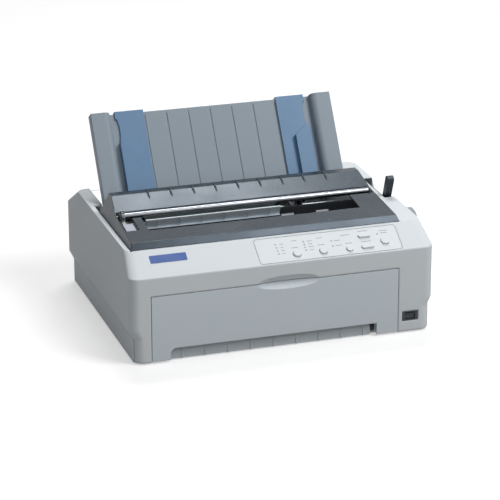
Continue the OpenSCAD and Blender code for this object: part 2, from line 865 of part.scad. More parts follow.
// Frame of the leaning guide: origin on its pivot line, Z up the guide, -Y towards the paper
module on_guide() {
    translate([path_x, guide_pivot[0], guide_pivot[1]])
        rotate([-guide_lean, 0, 0])
            children();
}

module paper_guide() {
    mid_w = guide_w - 2 * wing_w;
    color(guide_grey)
        on_guide()
            union() {
                for (sx = [-1, 1])
                    mirror([sx < 0 ? 1 : 0, 0, 0])
                        difference() {
                            translate([0, 0, -4])
                                linear_extrude(guide_l + 4)
                                    wing_outline(0);
                            translate([0, 0, 2])
                                linear_extrude(guide_l - 4)
                                    wing_outline(2);
                        }
                // middle panel, grooved, with a rail along its top
                difference() {
                    translate([-mid_w / 2 - 0.1, panel_w0, 10])
                        cube([mid_w + 0.2, 2.4, guide_l - 11]);
                    for (i = [-4:4])
                        translate([i * rib_pitch - 0.6, panel_w0 - 1, 14])
                            cube([1.2, 1.8, guide_l - 19]);
                }
                translate([-mid_w / 2 - 0.1, panel_w0 + 2.3, guide_l - 2.3])
                    rotate([0, 90, 0])
                        cylinder(h = mid_w + 0.2, d = 4.6);
                // pins
                for (sx = [-1, 1])
                    translate([sx * (guide_w / 2 + 1) - 3.3, 0, 0])
                        rotate([0, 90, 0])
                            cylinder(h = 6.6, d = guide_pin_d);
            }
}
guide_front = -8.3;
panel_w0 = guide_front + 13;

// Section of the right wing, inset by t: flat front with a rounded inner edge, open at the back
module wing_outline(t) {
    x1 = guide_w / 2;
    x0 = x1 - wing_w;
    r = 8;
    difference() {
        union() {
            translate([x0 + r, guide_front + t])
                square([wing_w - r - t, wing_depth]);
            translate([x0 + t, guide_front + r])
                square([wing_w - 2 * t, wing_depth - r + t]);
            translate([x0 + r, guide_front + r])
                circle(r - t, $fn = 48);
        }
        translate([x0 - 1, guide_front + wing_depth + (t > 0 ? 10 : 0)])
            square([wing_w + 2, 20]);
    }
}

// Edge guide: a plate with a hook over the rail and a raised fence on its outer half; s is -1 or 1
module edge_guide(s) {
    rail_v = guide_l - 2.3;
    x0 = edge_inner;
    x1 = edge_inner + edge_w;
    w0 = panel_w0 - gap - 2.2;
    color(blue)
        on_guide()
            mirror([s < 0 ? 1 : 0, 0, 0])
                union() {
                    // plate, its outer edge drawn in by a shallow arc below the hook
                    difference() {
                        translate([x0, w0, 16])
                            cube([edge_w, 2.2, rail_v - 12]);
                        translate([x1 + 56, w0 - 1, 108])
                            rotate([-90, 0, 0])
                                cylinder(h = 5, r = 60);
                    }
                    // hook over the rail
                    across(x0, edge_w)
                        polygon([[w0, rail_v - 6], [w0, rail_v + 4.6], [panel_w0 + 6.9, rail_v + 4.6],
                            [panel_w0 + 6.9, rail_v - 7], [panel_w0 + 4.9, rail_v - 7],
                            [panel_w0 + 4.9, rail_v + 2.6], [w0 + 2.2, rail_v + 2.6],
                                [w0 + 2.2, rail_v - 6]]);
                    // fence
                    difference() {
                        translate([0, w0 + 1, 0])
                            rotate([90, 0, 0])
                                linear_extrude(8)
                                    polygon([[x1 - 22, 16], [x1, 16], [x1, 92], [x1 - 4, 91], [x1 - 22, 77]]);
                        translate([x1 - 20, w0, 14])
                            cube([18, 4, 62]);
                        translate([x1 + 56, w0 - 10, 108])
                            rotate([-90, 0, 0])
                                cylinder(h = 14, r = 60);
                        translate([x1 - 40, w0 - 7, 100])
                            rotate([-14, 0, 0])
                                translate([0, -10, -40])
                                    cube([60, 10, 80]);
                    }
                }
}

// ---- Paper release lever ----

module paper_release_lever() {
    lean = [-sin(25), cos(25)];
    root = [-20, top_h];
    tip = root + lean * 27.5;
    color([0.2, 0.23, 0.28])
        difference() {
            across(lever_x, lever_w)
                union() {
                    translate(release_c)
                        circle(8);
                    polygon([release_c + [-6.5, 4], release_c + [7, 3], root + [4.6, -6], tip + [4.5, 2.1],
                        tip + [-4.5, -2.1], root + [-5, -6]]);
                    translate(tip)
                        circle(5);
                }
            bar(lever_x - 1, lever_x + lever_w + 1, release_c, release_d);
        }
}
release_d = 6;

module release_shaft() {
    color(steel)
        union() {
            bar(frame_left - 0.8, lever_x + lever_w, release_c, release_d);
            for (x = [-100, 0, 90])
                across(path_x + x, 5)
                    translate(release_c)
                        difference() {
                            translate([-2.5, 0])
                                circle(5.5);
                            circle(d = release_d - 0.2);
                        }
        }
}

// Dark lining of the lever slot: a tray with a slit for the lever, open towards the side
module lever_bezel() {
    z = lever_floor;
    x2 = half_w - wall - 3.2;
    color(dark)
        difference() {
            union() {
                block([lever_slot[0] + gap, lever_slot[1] + gap, z - 1.5], [x2, lever_slot[2] - gap, z]);
                block([lever_slot[0] + gap, lever_slot[1] + gap, z - 1.5],
                    [half_w - side_lean - 0.6, lever_slot[2] - gap, top_h - 0.4]);
            }
            block([lever_slot[0] + 1.5, lever_slot[1] + 1.5, z],
                [half_w + 5, lever_slot[2] - 1.5, top_h + 1]);
            block([lever_x - 0.6, lever_slot[1] + 2, z - 5],
                [lever_x + lever_w + 0.6, lever_slot[2] - 3, top_h]);
            block([half_w - wall - 3.2, lever_slot[1] - 1, z - 5], [half_w, lever_slot[2] + 1, z + 0.3]);
        }
}

// ---- Platen ----

module platen() {
    x = path_x - platen_l / 2;
    color(dark)
        difference() {
            bar(x, x + platen_l, platen_c, platen_d);
            bar(x - 1, x + platen_l + 1, platen_c, platen_shaft_d);
        }
}

module platen_shaft() {
    color(steel)
        bar(gear_x - 1, half_w + 2, platen_c, platen_shaft_d);
}

// Fluted knob with a domed end
module platen_knob() {
    x = half_w + 1;
    n = 24;
    color([0.5, 0.54, 0.57])
        difference() {
            union() {
                bar(x, x + knob_reach - 4, platen_c, knob_d);
                translate([x + knob_reach - 4, platen_c[0], platen_c[1]])
                    rotate([0, 90, 0])
                        cylinder(h = 3, d1 = knob_d, d2 = knob_d - 8);
            }
            for (i = [0:n - 1])
                bar(x + 3, half_w + knob_reach + 1, platen_c + (knob_d / 2 + 0.6) * [cos(i * 360 / n),
                    sin(i * 360 / n)], 2.6);
            bar(x - 1, half_w + 2, platen_c, platen_shaft_d);
        }
}

module platen_gear() {
    color(nylon)
        union() {
            gear(gear_x, platen_c, platen_teeth, gear_w, platen_shaft_d, 0);
            gear(inner_gear_x, platen_c, inner_teeth, gear_w - 2, platen_shaft_d, 0);
        }
}

module feed_idler_gear() {
    color(nylon)
        gear(gear_x, feed_idler_c, feed_idler_teeth, gear_w, stud_d + 2 * fit, feed_idler_turn);
}
stud_d = 5;

module feed_motor() {
    x = frame_left + frame_t;
    color(steel)
        union() {
            bar(x, x + 24, pinion_c, 36);
            bar(x + 23.5, x + 26, pinion_c, 12);
            across(x, 1.5)
                translate(pinion_c)
                    rounded(40, 16, 5);
        }
}

module feed_pinion() {
    color(nylon)
        union() {
            gear(gear_x, pinion_c, pinion_teeth, gear_w, 1, pinion_turn);
            bar(gear_x + 0.5, frame_left + frame_t - gap, pinion_c, 4);
        }
}

module tractor_idler(c, turn) {
    color(nylon)
        difference() {
            gear(gear_x, c, train_teeth, gear_w, stud_d + 2 * fit, turn);
            for (i = [0:5])
                bar(gear_x - 1, gear_x + gear_w + 1, c + gear_r(train_teeth) * 0.58 * [cos(i * 60),
                    sin(i * 60)], 10);
        }
}

// ---- Tractors ----

module tractor_shaft() {
    color(steel)
        union() {
            bar(gear_x - 0.5, frame_right + 2.5, tractor_c, tractor_shaft_d);
            gear(gear_x, tractor_c, tractor_teeth, gear_w, tractor_shaft_d - 0.2, tractor_turn);
        }
}

module tractor_support_shaft() {
    color(steel)
        bar(frame_left - 2.5, frame_right + 2.5, support_c, support_d);
}

// Tractor housing: an open-topped box with bores for both shafts and a rod for its lid
tractor_top = 104;
lid_axis_z = tractor_top - 0.4;
module tractor(s) {
    x = path_x + s * tractor_x;
    color([0.2, 0.22, 0.24])
        difference() {
            union() {
                across(x - tractor_w / 2, tractor_w)
                    polygon([[84, 80], [92, 76], [150, 76], [154, 84], [154, tractor_top - 4],
                        [148, tractor_top],
                        [90, tractor_top], [84, tractor_top - 6]]);
                translate([x + s * (tractor_w / 2 + 3), 0, lid_axis_z]) {
                    translate([0, 91, 0])
                        rotate([-90, 0, 0])
                            cylinder(h = 52, d = 2.4, $fn = 32);
                    for (sy = [103.4, 128.6])
                        translate([0, sy - 1, 0])
                            rotate([-90, 0, 0])
                                cylinder(h = 4, d = 4.6, $fn = 32);
                }
                for (y = [102.4, 127.6])
                    translate([x + s * (tractor_w / 2 + 1.4) - 1.8, y, lid_axis_z - 2.3])
                        cube([3.6, 4, 3]);
            }
            block([x - tractor_w / 2 + 2, 86.5, 70], [x + tractor_w / 2 - 2, 126, tractor_top + 1]);
            bar(x - tractor_w, x + tractor_w, tractor_c, tractor_shaft_d + 2 * fit);
            bar(x - tractor_w, x + tractor_w, support_c, support_d + 2 * fit);
        }
}
support_d = 6;

// Lid that holds the paper on the pins, hinged at the tractor's outer side
module tractor_lid(s) {
    x = path_x + s * tractor_x;
    hinge_x = x + s * (tractor_w / 2 + 3);
    color([0.24, 0.26, 0.28])
        difference() {
            union() {
                translate([x - tractor_w / 2 + 0.5, 88, tractor_top + 2.2])
                    cube([tractor_w - 1, 58, 2]);
                for (y = [92, 132.2])
                    translate([hinge_x, y, lid_axis_z]) {
                        rotate([-90, 0, 0])
                            cylinder(h = 10, d = 4.8, $fn = 32);
                        translate([s > 0 ? -4.5 : -0.5, 0, 1.4])
                            cube([5, 10, 3.2]);
                    }
            }
            block([x - 2.4, 86, tractor_top], [x + 2.4, 124, tractor_top + 6]);
            translate([hinge_x, 88, lid_axis_z])
                rotate([-90, 0, 0])
                    cylinder(h = 60, d = 2.4 + 2 * fit, $fn = 32);
        }
}

// Sprocket: a drum with pins that take the holes of the paper
module sprocket(s) {
    x = path_x + s * tractor_x;
    color([0.75, 0.77, 0.78])
        difference() {
            union() {
                bar(x - 7, x + 7, tractor_c, 19);
                for (i = [0:5])
                    translate([x, tractor_c[0], tractor_c[1]])
                        rotate([i * 60, 0, 0])
                            translate([0, 0, 6])
                                cylinder(h = 9.6, d1 = 4.2, d2 = 2.4, $fn = 24);
            }
            bar(x - 8, x + 8, tractor_c, tractor_shaft_d + 2 * fit);
        }
}

// ---- Frames ----

// Outline of a side frame as (y, z)
module frame_outline() {
    polygon([[-133, frame_foot_z], [155, frame_foot_z], [155, 106], [120, 118], [84, 110], [40, 122],
        [10, frame_top], [-76, frame_top], [-84, 104], [-133, 104]]);
}

module side_frame(x, s) {
    foot = s > 0 ? x + frame_t : x - 14;
    color(steel)
        difference() {
            union() {
                across(x, frame_t)
                    difference() {
                        frame_outline();
                        translate([-20, 52])
                            rounded(50, 36, 8);
                        translate([62, 48])
                            rounded(70, 32, 8);
                    }
                for (y = frame_foot_y)
                    block([s > 0 ? x : x - 10, y - 7, frame_foot_z],
                        [s > 0 ? x + 10 + frame_t : x + frame_t, y + 7,
                        frame_foot_z + frame_t]);
            }
            bar(x - 1, x + 4, platen_c, platen_shaft_d + 2 * fit);
            bar(x - 1, x + 4, rail_c, rail_d);
            bar(x - 1, x + 4, tractor_c, tractor_shaft_d + 2 * fit);
            bar(x - 1, x + 4, support_c, support_d);
            bar(x - 1, x + 4, release_c, release_d + 2 * fit);
            if (s > 0)
                bar(x - 1, x + 4, pinion_c, 4 + 2 * fit);
        }
}

module side_frame_left() {
    side_frame(frame_left, 1);
    color(steel)
        for (c = [feed_idler_c, train_front_c, train_rear_c]) {
            bar(gear_x - 0.8, frame_left + 0.5, c, stud_d);
            bar(frame_left - 1.2, frame_left + 0.5, c, stud_d + 3);
        }
}

module side_frame_right() {
    side_frame(frame_right - frame_t, -1);
}

// Front beam: a folded sheet that carries the belt drive and guides the carriage's foot
module front_beam() {
    color(steel)
        union() {
            difference() {
                across(frame_left + frame_t, frame_right - frame_left - 2 * frame_t)
                    polygon([[-131, 100], [-129.4, 100], [-129.4, 63.6], [-84, 63.6], [-84, 54], [-85.6, 54],
                        [-85.6, 62], [-131, 62]]);
                translate([motor_x, belt_y, 60])
                    cylinder(h = 6, d = 12);
            }
            translate([idler_x, belt_y, 63.5])
                cylinder(h = belt_z - 58.5, d = 5);
        }
}

// Paper chute: a trough that bends round the underside of the platen, and its rear ramp
module paper_chute() {
    w = platen_l + 8;
    r = platen_d / 2;
    wide = frame_right - frame_left - 2 * frame_t;
    color(dark)
        union() {
            across(path_x - w / 2, w)
                union() {
                    intersection() {
                        translate(platen_c)
                            difference() {
                                circle(r + 4);
                                circle(r + 2);
                            }
                        translate(platen_c + [-r * 0.7, -r - 6])
                            square([r * 2 + 6, r + 6]);
                    }
                    polygon([platen_c + [r + 2.2, 0], [-22, 107.6], [-20, 107], [-20, 104.6], [-24, 105],
                        platen_c + [r + 3.8, -3], platen_c + [r + 2.2, -3]]);
                }
            across(path_x - wide / 2, wide)
                polygon([[-22, 107.6], [-20, 107], [20, 88], [74, 80], [74, 78], [19, 86], [-22, 105.4]]);
        }
}

// ---- Carriage ----

module carriage_shaft() {
    color(chrome)
        bar(frame_left - 2, frame_right + 2, rail_c, rail_d);
}
belt_y = -103;
belt_z = 69;
motor_x = frame_left + 22;
idler_x = frame_right - 20;

// Carriage: a saddle on the shaft with a foot on the front beam and cheeks beside the head
module carriage() {
    x = carriage_x - carriage_w / 2;
    clamp_y = belt_y - pulley_d / 2 - 1 - gap;
    color(dark)
        difference() {
            union() {
                across(x, carriage_w)
                    polygon([[-127, 76], [-92, 76], [-84, 80], [-76, 92], [-76, 96], [-112, 96], [-116, 90],
                        [-127, 86]]);
                for (cx = [x, x + carriage_w - 3])
                    across(cx, 3)
                        polygon([[-112, 95], [-78, 95], [-82, 118], [-104, 118]]);
                block([carriage_x - 10, clamp_y - 1.6, belt_z - 3], [carriage_x + 10, clamp_y, 76.5]);
                across(carriage_x - 10, 20)
                    polygon([[-133.2, 83], [-131.4, 83], [-131.4, 100.4], [-122, 100.4], [-122, 85],
                        [-120, 85],
                        [-120, 103], [-133.2, 103]]);
            }
            bar(x - 1, x + carriage_w + 1, rail_c, rail_d + 2 * fit);
        }
}

// Print head: a finned round body with a nose that reaches the platen
module print_head() {
    nose_y = platen_c[0] - platen_d / 2 - 1.2;
    color(dark)
        union() {
            for (i = [0:5])
                across(carriage_x - 15 + i * 5.6, 2)
                    polygon([[-112, 97], [-84, 97], [-80, 104], [-80, 132], [-86, 138], [-108, 138],
                        [-112, 130]]);
            translate([carriage_x, -97, 112])
                rotate([-90, 0, 0])
                    cylinder(h = 18, d = 30);
            translate([carriage_x, -79.2, 112])
                rotate([-90, 0, 0])
                    cylinder(h = 6, d1 = 26, d2 = 14);
            block([carriage_x - 3.5, -74, 104.5], [carriage_x + 3.5, nose_y, 118]);
            block([carriage_x - 16, -112, 96], [carriage_x + 16, -84, 98]);
        }
}

// Ribbon guide: a mask with two arms that stand on the carriage's cheeks
module ribbon_guide() {
    color([0.8, 0.82, 0.84])
        union() {
            for (sx = [-1, 1])
                across(carriage_x + sx * 24 - 8.5, 17)
                    polygon([[-92, 118], [-79.5, 118], [-70, 104], [-68.6, 104], [-68.6, 134],
                        [-64, 145], [-66, 146],
                        [-71, 136], [-79.5, 120], [-92, 120]]);
            difference() {
                block([carriage_x - 16, -70, 102], [carriage_x + 16, -68.6, 134]);
                block([carriage_x - 4, -72, 103.5], [carriage_x + 4, -68, 119]);
            }
        }
}

// Ribbon cartridge: a long flat box in front of the carriage's path, with two arms and the ribbon
module ribbon_cartridge() {
    x1 = bay_left + 21;
    x2 = bay_right - 21;
    color([0.13, 0.14, 0.16])
        union() {
            difference() {
                across(x1, x2 - x1)
                    polygon([[-122.5, 120], [-113, 120], [-113, 139], [-117, 141], [-122.5, 138]]);
                for (i = [0:11])
                    block([x1 + 12 + i * 26, -124, 124], [x1 + 28 + i * 26, -121.7, 134]);
            }
            for (x = [x1, x2 - 10])
                across(x, 10)
                    polygon([[-114, 122], [-70, 116], [-66, 103.5], [-64.6, 103.5], [-64.6, 119], [-74, 134],
                        [-114, 138]]);
            translate([x2 - 26, -117, 138])
                cylinder(h = 4, d = 4.6);
            block([x1 + 9, -64.85, 104.5], [x2 - 9, -64.6, 117]);
        }
}

module drive_belt() {
    r = pulley_d / 2;
    color(dark)
        translate([0, 0, belt_z - 3])
            linear_extrude(6)
                difference() {
                    belt_loop(r + 1);
                    belt_loop(r);
                }
}

module belt_loop(r) {
    translate([motor_x, belt_y])
        circle(r);
    translate([idler_x, belt_y])
        circle(r);
    translate([motor_x, belt_y - r])
        square([idler_x - motor_x, 2 * r]);
}

// Belt pulley with two flanges and a tall core
module pulley(x, bore) {
    r = pulley_d / 2;
    color(nylon)
        translate([x, belt_y, 0])
            difference() {
                union() {
                    translate([0, 0, belt_z - 4.2])
                        cylinder(h = 8.4, r = r - 0.05);
                    for (z = [belt_z - 4.6, belt_z + 3.4])
                        translate([0, 0, z])
                            cylinder(h = 1.2, r = r + 2);
                    for (i = [0:3])
                        rotate(i * 90)
                            translate([r * 0.62, 0, belt_z + 4])
                                cylinder(h = 1, d = 2, $fn = 24);
                }
                translate([0, 0, belt_z - 6])
                    cylinder(h = 12, d = bore);
            }
}

module motor_pulley() {
    pulley(motor_x, 4.8);
    color(steel)
        translate([motor_x, belt_y, 58])
            cylinder(h = belt_z - 53, d = 5);
}

module idler_pulley() {
    pulley(idler_x, 5 + 2 * fit);
}

module carriage_motor() {
    color([0.45, 0.47, 0.5])
        difference() {
            union() {
                translate([motor_x, belt_y, 24])
                    cylinder(h = 38, d = 34);
                translate([motor_x, belt_y, 21])
                    cylinder(h = 3.1, d = 14);
            }
            translate([motor_x, belt_y, 57.5])
                cylinder(h = 5, d = 5 + 2 * fit);
        }
}

// ---- Electronics ----

module main_board() {
    z = board_z;
    y2 = rear_y - skirt_inset - wall - 3;
    color([0.15, 0.4, 0.26])
        difference() {
            block([-112, 8, z], [142, y2, z + 1.6]);
            for (p = board_posts)
                translate([p[0], p[1], z - 1])
                    cylinder(h = 4, d = 3.2, $fn = 24);
        }
    color(dark) {
        for (p = [[-60, 60, 30, 30], [0, 50, 24, 24], [50, 70, 36, 12], [50, 92, 36, 12], [-40, 108, 40, 14]])
            block([p[0], p[1], z + 1.5], [p[0] + p[2], p[1] + p[3], z + 4.6]);
        difference() {
            block([parallel_x - 27, y2 - 16, z + 1.5],
                [parallel_x + 27, rear_y - skirt_inset + 1, socket_z + 7]);
            block([parallel_x - 22, y2 - 8, socket_z - 3.5], [parallel_x + 22, rear_y + 1, socket_z + 4]);
        }
        difference() {
            block([usb_x - 6, y2 - 14, z + 1.5], [usb_x + 6, rear_y - skirt_inset + 0.4, socket_z + 6.5]);
            block([usb_x - 4.2, y2 - 8, socket_z - 3], [usb_x + 4.2, rear_y + 1, socket_z + 4.5]);
        }
        for (x = [20, 34, 48])
            translate([x, 30, z + 1.5])
                cylinder(h = 16, d = 10);
    }
}

// Power unit: the transformer on its feet, and the inlet in the rear wall
module power_unit() {
    x = transformer_x;
    y2 = rear_y - skirt_inset;
    color([0.5, 0.45, 0.3])
        union() {
            block([x - 28, 76, power_z], [x + 28, 122, power_z + 1.6]);
            block([x - 22, 80, power_z + 1.5], [x + 22, 118, power_z + 36]);
            block([x - 14, 74.5, power_z + 6], [x + 14, 123.5, power_z + 31]);
        }
    color(dark)
        difference() {
            block([inlet_x - inlet_w / 2, y2 - 22, inlet_z - inlet_h / 2], [inlet_x + inlet_w / 2, y2 + 0.6,
                inlet_z + inlet_h / 2]);
            block([inlet_x - inlet_w / 2 + 1.5, y2 - 17, inlet_z - inlet_h / 2 + 1.8],
                [inlet_x + inlet_w / 2 - 1.5,
                y2 + 1, inlet_z + inlet_h / 2 - 1.8]);
            }
}

placed() lower_case();
placed() upper_case();
placed() front_cover();
placed() front_paper_guide();
placed() control_panel();
placed() button(3);  // button_pause
placed() button(5);  // button_feed
placed() button(4);  // button_eject
placed() button(2);  // button_tear_off
placed() button(0);  // button_font
placed() button(1);  // button_pitch
placed() status_lamps();
placed() printer_cover();
placed() tension_frame();
placed() exit_guide();
placed() release_tab();
placed() tension_roller();
placed() tension_idler_gear();
placed() paper_guide();
placed() edge_guide(-1);  // edge_guide_left
placed() edge_guide(1);  // edge_guide_right
placed() paper_release_lever();
placed() release_shaft();
placed() lever_bezel();
placed() platen();
placed() platen_shaft();
placed() platen_knob();
placed() platen_gear();
placed() feed_idler_gear();
placed() feed_motor();
placed() feed_pinion();
placed() tractor_idler(train_front_c, train_front_turn);  // tractor_idler_front
placed() tractor_idler(train_rear_c, train_rear_turn);  // tractor_idler_rear
placed() tractor_shaft();
placed() tractor_support_shaft();
placed() tractor(-1);  // tractor_left
placed() tractor(1);  // tractor_right
placed() tractor_lid(-1);  // tractor_lid_left
placed() tractor_lid(1);  // tractor_lid_right
placed() sprocket(-1);  // sprocket_left
placed() sprocket(1);  // sprocket_right
placed() side_frame_left();
placed() side_frame_right();
placed() front_beam();
placed() paper_chute();
placed() carriage_shaft();
placed() carriage();
placed() print_head();
placed() ribbon_cartridge();
placed() ribbon_guide();
placed() drive_belt();
placed() carriage_motor();
placed() motor_pulley();
placed() idler_pulley();
placed() main_board();
placed() power_unit();
placed() power_switch();
placed() switch_bezel();
placed() feet();
placed() screws();
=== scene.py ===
import math
import bpy
import bmesh
from mathutils import Matrix, Vector


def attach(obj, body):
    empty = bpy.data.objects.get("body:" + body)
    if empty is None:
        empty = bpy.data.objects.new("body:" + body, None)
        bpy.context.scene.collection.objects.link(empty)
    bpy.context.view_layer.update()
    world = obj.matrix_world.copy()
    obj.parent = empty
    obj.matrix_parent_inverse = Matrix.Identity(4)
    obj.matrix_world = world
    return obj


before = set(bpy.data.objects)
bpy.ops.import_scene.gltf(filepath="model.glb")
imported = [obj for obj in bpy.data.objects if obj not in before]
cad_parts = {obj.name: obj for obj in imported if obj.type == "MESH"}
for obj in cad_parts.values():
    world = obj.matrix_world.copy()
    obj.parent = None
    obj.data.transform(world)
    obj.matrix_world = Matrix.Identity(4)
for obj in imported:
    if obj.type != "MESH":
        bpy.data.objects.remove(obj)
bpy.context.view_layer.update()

# Housing places, in millimetres, as the solid model uses them
housing = {
    "knobShift": 8.5,       # half of the knob's reach, which moves the housing to the left
    "frontY": -166.5,
    "creaseZ": 116.0,
    "slopeRun": 38.5,
    "slopeRise": 25.0,
}
slopeAngle = math.atan2(housing["slopeRise"], housing["slopeRun"])
mmPerMetre = 1000.0


def place(x, y, z):
    # a housing place in millimetres as a point of the frame in metres
    return Vector(((x - housing["knobShift"]) / mmPerMetre, y / mmPerMetre, z / mmPerMetre))


def onSlope(x, up, out=0.0):
    # a point of the sloped strip: sideways, up the slope and out of it
    y = housing["frontY"] + up * math.cos(slopeAngle) - out * math.sin(slopeAngle)
    z = housing["creaseZ"] + up * math.sin(slopeAngle) + out * math.cos(slopeAngle)
    return place(x, y, z)


# Helpers that add shader nodes

def setInput(tree, socket, value):
    # a node's output is linked to the socket, anything else is set on it
    if isinstance(value, bpy.types.NodeSocket):
        tree.links.new(value, socket)
    else:
        socket.default_value = value


def addNode(tree, kind, values=None, settings=None):
    node = tree.nodes.new(kind)
    for name, value in (settings or {}).items():
        setattr(node, name, value)
    for name, value in (values or {}).items():
        setInput(tree, node.inputs[name], value)
    return node


def maths(tree, operation, a, b=0.5, clamp=False):
    return addNode(tree, "ShaderNodeMath", {0: a, 1: b},
                   {"operation": operation, "use_clamp": clamp}).outputs[0]


def spread(tree, value, low, high, toLow=0.0, toHigh=1.0):
    # maps the range low..high to the range toLow..toHigh
    return addNode(tree, "ShaderNodeMapRange", {
        "Value": value, "From Min": low, "From Max": high, "To Min": toLow, "To Max": toHigh,
    }).outputs["Result"]


def blendColour(tree, factor, a, b):
    # inputs 6 and 7 and output 2 are the colour ones of this node
    return addNode(tree, "ShaderNodeMix", {0: factor, 6: a, 7: b},
                   {"data_type": "RGBA", "clamp_factor": True}).outputs[2]


def objectPlace(tree):
    return addNode(tree, "ShaderNodeTexCoord").outputs["Object"]


def scaleFrom(tree, size):
    # texture scale that gives features of this size in millimetres
    return maths(tree, "DIVIDE", mmPerMetre, size)


def newGroup(name, inputs, outputs):
    # a shared shader group with number inputs, and its input and output nodes
    group = bpy.data.node_groups.new(name, "ShaderNodeTree")
    for label, default in inputs:
        socket = group.interface.new_socket(label, in_out="INPUT", socket_type="NodeSocketFloat")
        socket.default_value = default
    for label, kind in outputs:
        group.interface.new_socket(label, in_out="OUTPUT", socket_type=kind)
    return group, group.nodes.new("NodeGroupInput"), group.nodes.new("NodeGroupOutput")


def useGroup(tree, group, values):
    node = tree.nodes.new("ShaderNodeGroup")
    node.node_tree = group
    for name, value in values.items():
        node.inputs[name].default_value = value
    return node


# In the groups below, a band is the range of a texture's value over which a mask fades
mould = {"pitShare": 0.55, "speckBand": (0.66, 0.78), "mottleBand": (0.3, 0.7)}


def makeMouldGrain():
    # spark-eroded texture of a moulded face, with slow uneven tone
    group, taken, given = newGroup("mouldGrain", [("Grain mm", 0.8), ("Mottle mm", 60.0)],
                                   [("Height", "NodeSocketFloat"), ("Mottle", "NodeSocketFloat"),
                                    ("Speck", "NodeSocketFloat")])
    where = objectPlace(group)
    fineScale = scaleFrom(group, taken.outputs["Grain mm"])
    slowScale = scaleFrom(group, taken.outputs["Mottle mm"])
    fine = addNode(group, "ShaderNodeTexNoise",
                   {"Vector": where, "Scale": fineScale, "Detail": 3.0, "Roughness": 0.62})
    pits = addNode(group, "ShaderNodeTexVoronoi", {"Vector": where, "Scale": fineScale},
                   {"feature": "SMOOTH_F1"})
    height = maths(group, "MULTIPLY_ADD", pits.outputs["Distance"], mould["pitShare"])
    group.links.new(fine.outputs["Fac"], height.node.inputs[2])
    slow = addNode(group, "ShaderNodeTexNoise",
                   {"Vector": where, "Scale": slowScale, "Detail": 4.0, "Roughness": 0.55})
    speck = spread(group, fine.outputs["Fac"], *mould["speckBand"])
    mottle = spread(group, slow.outputs["Fac"], *mould["mottleBand"])
    group.links.new(height, given.inputs["Height"])
    group.links.new(mottle, given.inputs["Mottle"])
    group.links.new(speck, given.inputs["Speck"])
    return group


# the band counts in the cosine of the angle between the rounded and the flat shading
rounded = {"band": (0.99, 0.86), "samples": 6}


def makeSoftEdge():
    # rounds the shading of sharp edges and gives a mask of where they are
    group, taken, given = newGroup("softEdge", [("Radius mm", 0.8)],
                                   [("Normal", "NodeSocketVector"), ("Edge", "NodeSocketFloat")])
    radius = maths(group, "MULTIPLY", taken.outputs["Radius mm"], 1 / mmPerMetre)
    bevel = addNode(group, "ShaderNodeBevel", {"Radius": radius},
                    {"samples": rounded["samples"]})
    flat = addNode(group, "ShaderNodeNewGeometry").outputs["Normal"]
    match = addNode(group, "ShaderNodeVectorMath", {0: bevel.outputs["Normal"], 1: flat},
                    {"operation": "DOT_PRODUCT"}).outputs["Value"]
    edge = spread(group, match, *rounded["band"])
    group.links.new(bevel.outputs["Normal"], given.inputs["Normal"])
    group.links.new(edge, given.inputs["Edge"])
    return group


film = {"upBand": (0.35, 0.95), "patchBand": (0.38, 0.68)}


def makeDustFilm():
    # thin dust that lies on faces that look up, thicker in patches
    group, taken, given = newGroup("dustFilm", [("Patch mm", 45.0), ("Cover", 0.5)],
                                   [("Mask", "NodeSocketFloat")])
    normal = addNode(group, "ShaderNodeNewGeometry").outputs["Normal"]
    up = addNode(group, "ShaderNodeSeparateXYZ", {"Vector": normal}).outputs["Z"]
    up = spread(group, up, *film["upBand"])
    where = objectPlace(group)
    scale = scaleFrom(group, taken.outputs["Patch mm"])
    patch = addNode(group, "ShaderNodeTexNoise",
                    {"Vector": where, "Scale": scale, "Detail": 7.0, "Roughness": 0.68})
    patch = spread(group, patch.outputs["Fac"], *film["patchBand"])
    lay = maths(group, "MULTIPLY", up, patch)
    mask = maths(group, "MULTIPLY", lay, taken.outputs["Cover"], True)
    group.links.new(mask, given.inputs["Mask"])
    return group


# turns are in radians, stretch is how often the texture is squeezed along each axis
scratch = {"turns": (0.35, 1.45, 2.6), "pitch": 0.3, "lean": 0.2, "stretch": (1.0, 26.0, 6.0),
           "band": (0.70, 0.76)}


def makeHairlines():
    # sparse fine scratches in three directions
    group, taken, given = newGroup("hairlines", [("Length mm", 14.0), ("Amount", 0.5)],
                                   [("Mask", "NodeSocketFloat")])
    where = objectPlace(group)
    scale = scaleFrom(group, taken.outputs["Length mm"])
    total = None
    for turn in scratch["turns"]:
        turned = addNode(group, "ShaderNodeMapping", {
            "Vector": where, "Rotation": (scratch["pitch"] * turn, scratch["lean"], turn),
            "Scale": scratch["stretch"]})
        lines = addNode(group, "ShaderNodeTexNoise", {
            "Vector": turned.outputs["Vector"], "Scale": scale, "Detail": 1.0})
        thin = spread(group, lines.outputs["Fac"], *scratch["band"])
        total = thin if total is None else maths(group, "MAXIMUM", total, thin)
    mask = maths(group, "MULTIPLY", total, taken.outputs["Amount"], True)
    group.links.new(mask, given.inputs["Mask"])
    return group


drawn = {"stretch": (0.02, 1.0, 1.0), "cloudScale": 28.0, "toneBand": (0.35, 0.65)}


